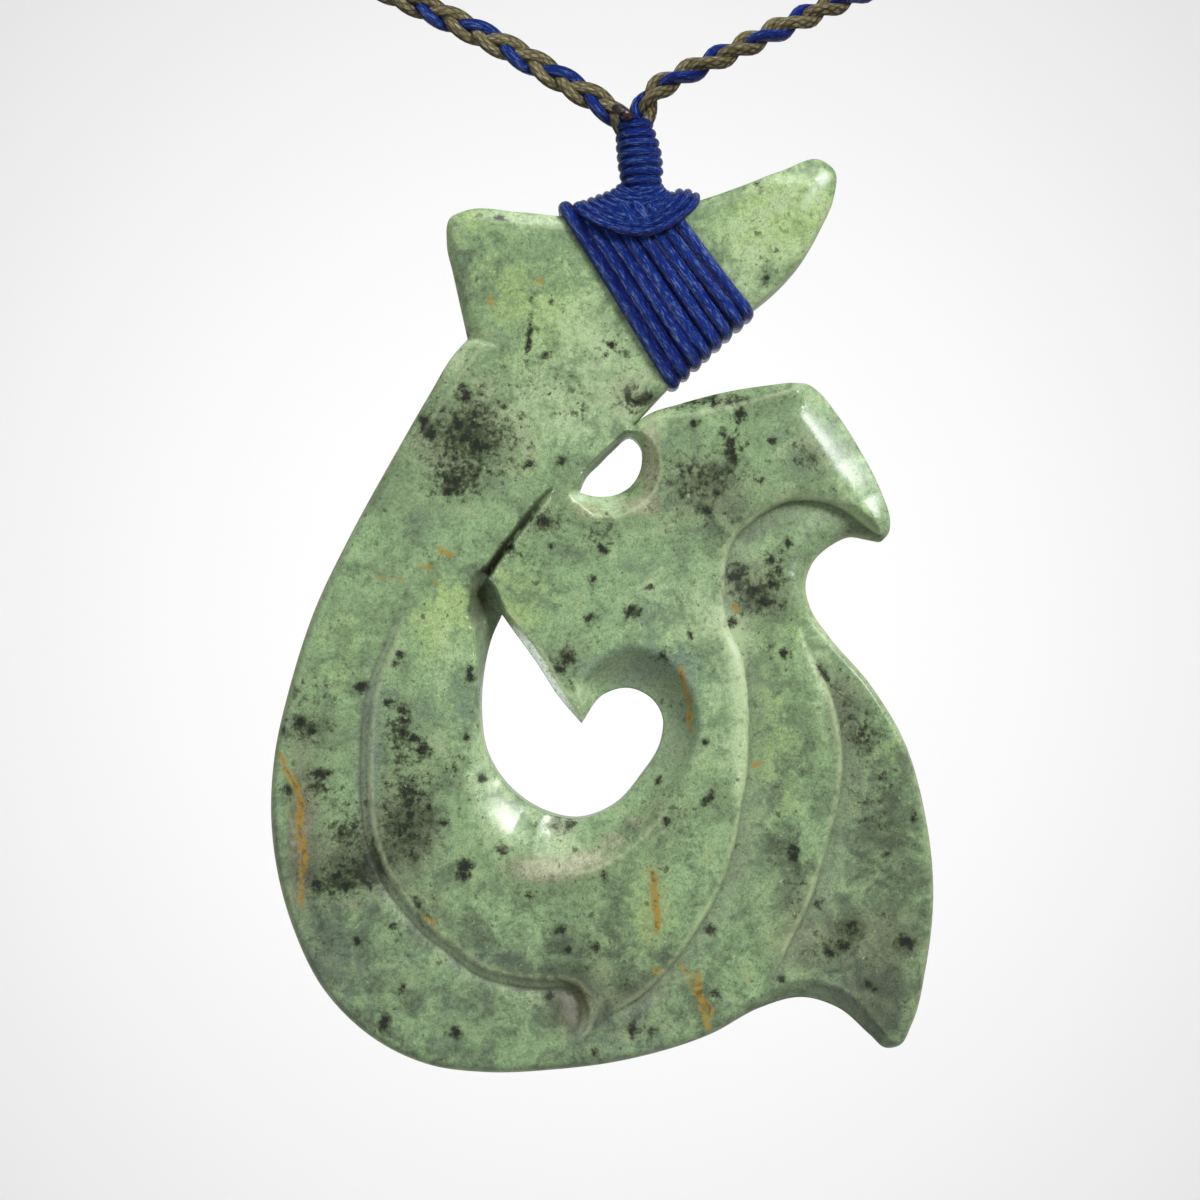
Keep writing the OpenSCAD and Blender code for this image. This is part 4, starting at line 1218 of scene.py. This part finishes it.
def mixed(tree, *pairs):
    # Sum of value times share
    total = None
    for value, share in pairs:
        part = calc(tree, "MULTIPLY", value, share)
        total = part if total is None else calc(tree, "ADD", total, part)
    return total


def rise(tree, value, low, high):
    # 0 below low, 1 above high, smooth between
    inputs = {"Value": value, "From Min": low, "From Max": high}
    return node(tree, "MapRange", inputs, interpolation_type="SMOOTHSTEP").outputs[0]


def tint(tree, share, a, b, kind="MIX"):
    # Colour a with as much of b over it as the share
    return node(tree, "Mix", {0: share, 6: a, 7: b}, data_type="RGBA", blend_type=kind).outputs[2]


def cloud(tree, at, scale, detail=4.0, rough=0.6, warp=0.0):
    # Noise of 0 to 1 around 0.5
    inputs = {"Vector": at, "Scale": scale, "Detail": detail, "Roughness": rough, "Distortion": warp}
    return node(tree, "TexNoise", inputs).outputs["Fac"]


def around(tree, value):
    # A cloud's value moved to lie around 0
    return calc(tree, "SUBTRACT", value, 0.5)


dotChosen = (0.45, 0.8)  # a cell's random value at which its dot appears and has its whole size


def dots(tree, at, scale, size):
    # Scattered dots, one in about half of the cells: 1 inside, 0 from the size outwards
    cells = node(tree, "TexVoronoi", {"Vector": at, "Scale": scale})
    chosen = node(tree, "SeparateXYZ", {0: cells.outputs["Color"]}).outputs[0]
    reach = calc(tree, "MULTIPLY", rise(tree, chosen, *dotChosen), size)
    return rise(tree, calc(tree, "SUBTRACT", reach, cells.outputs["Distance"]), 0.0, size * 0.5)


def mask(tree, name, output="Fac"):
    # A mesh's own values
    return node(tree, "Attribute", attribute_name=name).outputs[output]


def millimetres(tree):
    # Object coordinates in millimetres
    at = node(tree, "TexCoord").outputs["Object"]
    return node(tree, "Mapping", {"Vector": at, "Scale": (1000, 1000, 1000)}).outputs[0]


def newMaterial(name):
    # The material, its node tree and its shader
    made = bpy.data.materials.new(name)
    made.use_nodes = True
    return made, made.node_tree, made.node_tree.nodes["Principled BSDF"]


def setShader(shader, values, links, tree):
    # Plain values on the shader's own sockets, and nodes' outputs linked to the others
    for name, value in values.items():
        shader.inputs[name].default_value = value
    for name, value in links.items():
        tree.links.new(value, shader.inputs[name])


jade = {
    "colours": {
        "green": (128, 152, 112),
        "mint": (160, 192, 142),
        "yellowGreen": (172, 200, 126),
        "greyGreen": (126, 148, 130),
        # The jade's paler patches, also the colour of painted light and of painted glints
        "pale": (192, 216, 168),
        # Near white: painted highlights and painted reflections
        "paintedHighlight": (232, 246, 228),
        "cream": (206, 206, 176),
        "veil": (140, 130, 110),
        # The jade's smoky haze, and the colour of painted shade
        "smokeAndShade": (78, 88, 72),
        # Painted shade in recesses, such as the curl and the pocket
        "paintedDeepShade": (74, 82, 52),
        "black": (30, 36, 27),
        "darkGreen": (72, 84, 52),
        "rust": (180, 146, 54),
        "rustDark": (78, 54, 30),
        # Pale lines along edges, creases and steps: painted highlight, partly the paler thin jade there
        "rim": (208, 220, 174),
        # Painted shade on the steps' walls and below them, and in hollows, pockets and notches
        "paintedShadeGrey": (132, 148, 120),
        # Painted shade in the slit and along the feet of the steps
        "slit": (62, 66, 46),
    },
    # Clouds: scale in turns for a millimetre, detail, roughness and distortion
    "clouds": {
        "big": (0.13, 3, 0.5), "mid": (0.42, 6, 0.66, 0.5), "grain": (2.0, 5, 0.7), "fine": (7.0, 3, 0.6),
        "broken": (1.9, 6, 0.74), "wisps": (0.8, 7, 0.68, 1.6),
    },
    # Layers from the ground up: colour, shares of the values that are added up, sums at which it starts and
    # is full, and how much it covers there
    "ground": [
        ("mint", {"big": 0.5, "mid": 0.9}, 0.5, 0.9, 1),
        ("yellowGreen", {"tone": 1, "uneven": 2.2, "rough": 0.8}, 0.08, 0.95, 1),
        ("greyGreen", {"tone": -1, "uneven": -2, "rough": 0.8}, 0.08, 1.1, 1),
        # Painted shade where the light marks are low, with darker jade
        ("smokeAndShade", {"light": -1, "uneven": -2.7, "rough": -0.7}, 0, 1.3, 0.85),
        # Painted shade below the steps
        ("paintedShadeGrey", {"wall": 1}, 0.1, 1, 0.6),
        # Painted shade where the edges' and steps' shade is dark
        ("paintedShadeGrey", {"shade": -1, "uneven": 1.2}, 0.1, 1.1, 0.85),
        # Painted shade where the light marks are lowest; it also dulls the stone
        ("paintedDeepShade", {"light": -1, "rough": 0.8}, 0.7, 2, 0.9),
        # Painted light where the light marks and the shade are high, with paler jade
        ("pale", {"light": 1, "shade": 0.9, "uneven": 2.9, "rough": 0.7}, 0.15, 1.25, 1),
        # Painted highlight and painted reflection where the light marks and the shade are highest
        ("paintedHighlight", {"light": 1, "shade": 1}, 1.1, 2.4, 1),
        ("veil", {"cream": 1, "uneven": 1.2, "rough": 0.5}, 0.1, 0.6, 0.4),
        ("cream", {"cream": 1, "uneven": 1.2, "rough": 0.5}, 0.3, 1.2, 0.85),
        ("veil", {"haze": 1, "uneven": 1.8, "torn": 1.2}, 0.05, 0.7, 0.4),
        ("smokeAndShade", {"haze": 0.8, "specks": 0.3, "rough": 2, "torn": 2.2}, 0.15, 1, 0.78),
    ],
    # Mottling: the ground times a grey that rises with these clouds, less where the light marks are strong
    "mottle": {"wisps": 0.25, "grain": 0.35, "fine": 0.4},
    "mottleFrom": (0.32, 0.68),
    "mottleGrey": ((0.58, 0.58, 0.57, 1), (1.47, 1.47, 1.46, 1)),
    "mottleLess": (0.2, 1.6),
    "speckles": [
        ("darkGreen", {"broken": 1, "specks": 0.25, "torn": 0.4}, 0.56, 0.74, 0.8),
        ("black", {"broken": 1, "specks": 0.25, "torn": 0.4}, 0.66, 0.82, 0.92),
    ],
    "sway": (2.4, 3),  # scale and detail of the noise that bends the dots' cells
    "bend": 0.9,
    "sparks": (1.1, 0.14),  # scale and size of the pale dots, painted glints
    "sparkShare": 0.55,
    "pricks": ((0.7, 0.24), (1.7, 0.22)),  # scale and size of the dark dots, in two sizes
    "prickWhere": ({"uneven": 1, "specks": 0.6, "torn": 1}, -0.2, 0.15),
    "prickShare": 0.8,
    "ragged": {"jagged": 3.2, "fray": 1.2},  # noise that frays the edges of spots and veins
    "marks": [
        ("darkGreen", {"spots": 1, "ragged": 1}, -0.4, 0.35, 0.7),
        ("black", {"spots": 1, "ragged": 1}, 0.05, 0.6, 0.95),
        ("rust", {"rust": 1, "ragged": 0.9, "torn": 2.4}, -0.2, 0.9, 0.85),
        ("rustDark", {"rust": 1, "ragged": 0.6, "torn": -3.5}, 0.5, 1.3, 0.6),
        # Pale lines along edges: painted highlight, partly the paler thin jade there
        ("rim", {"rim": 0.52, "rimTorn": 1.8}, 0, 0.9, 1),
    ],
    "roughness": 0.18,
    # Added to the roughness
    "dull": {"grain": 0.2, "wall": 0.5, "paintedShadeGreyLayer": 0.25, "paintedDeepShadeLayer": 0.25, "slit": 0.5, "rim": 0.2},
    "relief": {"mid": 0.03, "grain": 0.012},
    "bump": {"Strength": 0.5, "Distance": 0.001},
    "shader": {
        "IOR": 1.6,
        "Subsurface Weight": 0.06,
        "Subsurface Radius": (0.7, 1.0, 0.6),
        "Subsurface Scale": 0.001,
    },
}


def makeJade():
    # Layers over a green ground, each as strong as the smooth rise of a sum of clouds and the mesh's values
    made, tree, shader = newMaterial("jadeStone")
    at = millimetres(tree)
    c = {name: colour(*value) for name, value in jade["colours"].items()}
    v = {name: cloud(tree, at, *value) for name, value in jade["clouds"].items()}
    for name in (*markNames, "spots", "rust", "shade", "wall", "rim", "slit"):
        v[name] = mask(tree, name)
    centred = {"uneven": "mid", "rough": "grain", "torn": "wisps", "jagged": "broken", "fray": "fine"}
    v.update({name: around(tree, v[source]) for name, source in centred.items()})
    v["rimTorn"] = calc(tree, "MULTIPLY", v["rim"], v["torn"])

    def summed(shares):
        return mixed(tree, *[(v[name], share) for name, share in shares.items()])

    def layered(look, layers):
        # A layer's rise is kept under its colour's name: the rises of the two painted shades also dull the
        # stone
        for name, shares, low, high, cover in layers:
            amount = rise(tree, summed(shares), low, high)
            v[name + "Layer"] = amount
            look = tint(tree, calc(tree, "MULTIPLY", amount, cover), look, c[name])
        return look

    v["ragged"] = summed(jade["ragged"])
    look = layered(c["green"], jade["ground"])
    cloudy = tint(tree, rise(tree, summed(jade["mottle"]), *jade["mottleFrom"]), *jade["mottleGrey"])
    less = calc(tree, "SUBTRACT", 1.0, rise(tree, v["light"], *jade["mottleLess"]))
    look = layered(tint(tree, less, look, cloudy, "MULTIPLY"), jade["speckles"])
    scale, detail = jade["sway"]
    sway = node(tree, "TexNoise", {"Vector": at, "Scale": scale, "Detail": detail}).outputs["Color"]
    inputs = {0: sway, 1: (jade["bend"],) * 3, 2: at}
    bent = node(tree, "VectorMath", inputs, operation="MULTIPLY_ADD").outputs[0]
    # Pale dots: painted glints
    sparks = calc(tree, "MULTIPLY", dots(tree, bent, *jade["sparks"]), jade["sparkShare"])
    look = tint(tree, sparks, look, c["pale"])
    pricks = calc(tree, "MAXIMUM", *[dots(tree, bent, *dot) for dot in jade["pricks"]])
    shares, low, high = jade["prickWhere"]
    pricks = calc(tree, "MULTIPLY", pricks, rise(tree, summed(shares), low, high))
    look = tint(tree, calc(tree, "MULTIPLY", pricks, jade["prickShare"]), look, c["darkGreen"])
    # Painted shade in the slit and at the steps' feet, over the marks
    look = tint(tree, v["slit"], layered(look, jade["marks"]), c["slit"])
    bump = node(tree, "Bump", {**jade["bump"], "Height": summed(jade["relief"])}).outputs[0]
    dull = calc(tree, "ADD", summed(jade["dull"]), jade["roughness"])
    setShader(shader, jade["shader"], {"Base Color": look, "Roughness": dull, "Normal": bump}, tree)
    return made


fibre = {
    "lumps": (0.9, 2, 0.5),  # scale, detail and roughness
    "sway": 0.9,
    "drawn": (3, 3, 0.8),
    "threads": (1.9, 5, 0.75),
    # Rise of the painted light on the side of the cord that faces out
    "crownFrom": (0.3, 1.0),
}


def makeBraid():
    # Group: crossing plies |sin(n a + k s) sin(n a - k s)| of angle a and length s, fibres drawn out along
    # the cord, and crown cos a, painted light on the side of the cord that faces out
    group = bpy.data.node_groups.new("braidedCord", "ShaderNodeTree")
    starts = {"Wrap": None, "Plies": 3.0, "Pitch": 1.4, "Braid": 1.0, "Fibres": 1.0}
    for name, value in starts.items():
        kind = "NodeSocketVector" if value is None else "NodeSocketFloat"
        socket = group.interface.new_socket(name, in_out="INPUT", socket_type=kind)
        if value is not None:
            socket.default_value = value
    for name in ("Height", "Streak", "Crown"):
        group.interface.new_socket(name, in_out="OUTPUT", socket_type="NodeSocketFloat")
    start, end = group.nodes.new("NodeGroupInput"), group.nodes.new("NodeGroupOutput")
    x, y, s = node(group, "SeparateXYZ", {0: start.outputs["Wrap"]}).outputs
    lumps = cloud(group, start.outputs["Wrap"], *fibre["lumps"])
    sway = calc(group, "MULTIPLY", lumps, fibre["sway"])
    turn = calc(group, "ADD", calc(group, "ARCTAN2", y, x), sway)
    angle = calc(group, "MULTIPLY", turn, start.outputs["Plies"])
    lengths = calc(group, "DIVIDE", calc(group, "MULTIPLY", s, 2 * math.pi), start.outputs["Pitch"])
    one = calc(group, "SINE", calc(group, "ADD", angle, lengths))
    two = calc(group, "SINE", calc(group, "SUBTRACT", angle, lengths))
    plies = calc(group, "ABSOLUTE", calc(group, "MULTIPLY", one, two))
    drawn = [calc(group, "MULTIPLY", value, size) for value, size in zip((x, y, s), fibre["drawn"])]
    drawn = node(group, "CombineXYZ", enumerate(drawn))
    fibres = around(group, cloud(group, drawn.outputs[0], *fibre["threads"]))
    height = mixed(group, (plies, start.outputs["Braid"]), (fibres, start.outputs["Fibres"]))
    crown = rise(group, x, *fibre["crownFrom"])
    for name, value in (("Height", height), ("Streak", fibres), ("Crown", crown)):
        group.links.new(value, end.inputs[name])
    return group


braidGroup = makeBraid()

# Both cords: sums and rises of the main colour and of the painted sheen, the roughness, the bump's depth in
# metres
waxed = {
    "patches": (0.35, 3, 0.6),
    "height": 0.8,
    "patchy": 0.7,
    "main": (-0.1, 0.8),
    "paintedSheenLit": 0.6,
    "paintedSheenStreak": 2.8,
    "paintedSheen": (0.44, 0.98),
    "roughStreak": 0.4,
    "roughPatchy": 0.2,
    "depth": 0.00025,
}

# Crown: share of the painted light on the side of each cord that faces out
# Deep colour: painted shade in the braid's valleys and on the side turned in; third colour: painted sheen
cords = {
    "blueCord": {
        "deep": (0, 10, 86), "main": (0, 52, 158), "paintedSheen": (124, 154, 216), "roughness": 0.24,
        "plies": 2.0, "pitch": 3.2, "braid": 0.3, "fibres": 1.6, "crown": 0.6, "bump": 1.0, "gloss": 0.4,
    },
    "khakiCord": {
        "deep": (58, 48, 28), "main": (150, 139, 100), "paintedSheen": (232, 224, 190), "roughness": 0.5,
        "plies": 3.0, "pitch": 1.9, "braid": 0.75, "fibres": 1.6, "crown": 0.35, "bump": 0.9, "gloss": 0.3,
    },
}


def makeCordMaterial(name):
    # Deep colour as painted shade in the braid's valleys and on the side turned in, painted sheen on its
    # crowns and streaks, waxed gloss over it
    made, tree, shader = newMaterial(name)
    own = cords[name]
    braid = tree.nodes.new("ShaderNodeGroup")
    braid.node_tree = braidGroup
    tree.links.new(mask(tree, "wrap", "Vector"), braid.inputs["Wrap"])
    for socket in ("Plies", "Pitch", "Braid", "Fibres"):
        braid.inputs[socket].default_value = own[socket.lower()]
    height, streak, crown = braid.outputs
    patchy = around(tree, cloud(tree, millimetres(tree), *waxed["patches"]))
    lit = mixed(tree, (height, waxed["height"]), (patchy, waxed["patchy"]), (crown, own["crown"]))
    look = tint(tree, rise(tree, lit, *waxed["main"]), colour(*own["deep"]), colour(*own["main"]))
    paintedSheen = mixed(tree, (lit, waxed["paintedSheenLit"]), (streak, waxed["paintedSheenStreak"]))
    look = tint(tree, rise(tree, paintedSheen, *waxed["paintedSheen"]), look, colour(*own["paintedSheen"]))
    rough = mixed(tree, (streak, waxed["roughStreak"]), (patchy, waxed["roughPatchy"]))
    rough = calc(tree, "ADD", rough, own["roughness"])
    inputs = {"Strength": own["bump"], "Distance": waxed["depth"], "Height": height}
    bump = node(tree, "Bump", inputs).outputs[0]
    links = {"Base Color": look, "Roughness": rough, "Normal": bump}
    setShader(shader, {"Specular IOR Level": own["gloss"]}, links, tree)
    return made


melted = {
    "burnt": (16, 7, 9),
    "lighter": (66, 40, 36),
    "lighterFrom": (0.4, 0.7),
    "lumps": (1.6, 4, 0.6, 0.8),
    "bump": {"Strength": 0.6, "Distance": 0.0003},
    "roughness": 0.5,
    "coat": 0.2,
}


def makeMelted():
    # Lumps of noise mix the burnt and the lighter brown, and also give the bump and the roughness
    made, tree, shader = newMaterial("meltedCord")
    lumps = cloud(tree, millimetres(tree), *melted["lumps"])
    share = rise(tree, lumps, *melted["lighterFrom"])
    look = tint(tree, share, colour(*melted["burnt"]), colour(*melted["lighter"]))
    bump = node(tree, "Bump", {**melted["bump"], "Height": lumps}).outputs[0]
    rough = calc(tree, "MULTIPLY", lumps, melted["roughness"])
    links = {"Base Color": look, "Roughness": rough, "Normal": bump}
    setShader(shader, {"Coat Weight": melted["coat"]}, links, tree)
    return made


def dress():
    # Each finish on its pieces
    blue, khaki = makeCordMaterial("blueCord"), makeCordMaterial("khakiCord")
    finishes = {"carved_stone": makeJade(), "cord_end_bead": makeMelted(), "plait_khaki": khaki}
    for piece in list(bpy.data.objects):
        if piece.type == "MESH" and "wrap" in piece.data.attributes or piece.name in finishes:
            kind = next((value for name, value in finishes.items() if piece.name.startswith(name)), blue)
            piece.data.materials.clear()
            piece.data.materials.append(kind)


dress()
print("materials")


# Floor, backdrop and lights

stage = {
    "floor": -760.0,  # height, in the necklace's frame
    "front": -2200,
    "wall": 1100.0,
    "sheetTop": 2200,
    "bend": 300.0,
    "bendSamples": 17,
    "halfWidth": 2200.0,
    "paper": {"Roughness": 0.9, "Specular IOR Level": 0.1},
    "shade": 0.86,
    "world": 0.26,
    "aim": (-3, 0, -38),  # middle of the pendant, in its own frame
    "wallAim": (0, 2000, 0),  # from there to where the wall's light looks
    "key": {"at": (230, -290, 240), "size": 150, "power": 1.4},
    "top": {"at": (60, -260, 560), "size": 360, "power": 0.8},
    "fill": {"at": (-480, -620, 60), "size": 500, "power": 0.5},
    "wallLight": {"at": (0, 580, 15), "size": 60, "power": 3.4},
}


def makeStage():
    # Profile: floor, quarter circle of the bend's radius, wall; carried straight across
    a = np.linspace(0, np.pi / 2, stage["bendSamples"])
    bend, wall, floor = stage["bend"], stage["wall"], stage["floor"]
    y = np.r_[stage["front"], wall - bend + bend * np.sin(a), wall]
    z = np.r_[floor, floor + bend - bend * np.cos(a), stage["sheetTop"]]
    x = np.array([-stage["halfWidth"], stage["halfWidth"]])
    points = np.stack([np.repeat(x, len(y)), np.tile(y, 2), np.tile(z, 2)], 1) * mm
    k = np.arange(len(y) - 1)
    sheet = addMesh("backdrop", points, np.stack([k, k + len(y), k + len(y) + 1, k + 1], 1).tolist())
    paper, tree, shader = newMaterial("backdropPaper")
    setShader(shader, {"Base Color": (stage["shade"],) * 3 + (1,), **stage["paper"]}, {}, tree)
    sheet.data.materials.append(paper)


def makeLights():
    # Each disk stands at its place from the pendant's middle and looks at it, the wall's light at the wall
    pendant = pendantAt + stage["aim"]
    for name in ("key", "top", "fill", "wallLight"):
        light = bpy.data.lights.new(name, "AREA")
        light.shape = "DISK"
        light.size = stage[name]["size"] * mm
        light.energy = stage[name]["power"]
        lamp = bpy.data.objects.new(name, light)
        spot = pendant + stage[name]["at"]
        aim = pendant + stage["wallAim"] if name == "wallLight" else pendant
        lamp.location = spot * mm
        way = unit(aim - spot)
        lamp.rotation_euler = (math.acos(-way[2]), 0, math.atan2(way[0], -way[1]) + math.pi)
        lamp.visible_camera = False
        bpy.context.scene.collection.objects.link(lamp)
    world = bpy.data.worlds.new("softRoom")
    world.use_nodes = True
    air = world.node_tree.nodes["Background"].inputs
    air[0].default_value = (1, 1, 1, 1)
    air[1].default_value = stage["world"]
    bpy.context.scene.world = world
    bpy.context.scene.view_settings.view_transform = "Standard"


makeStage()
makeLights()
print("backdrop and lights")
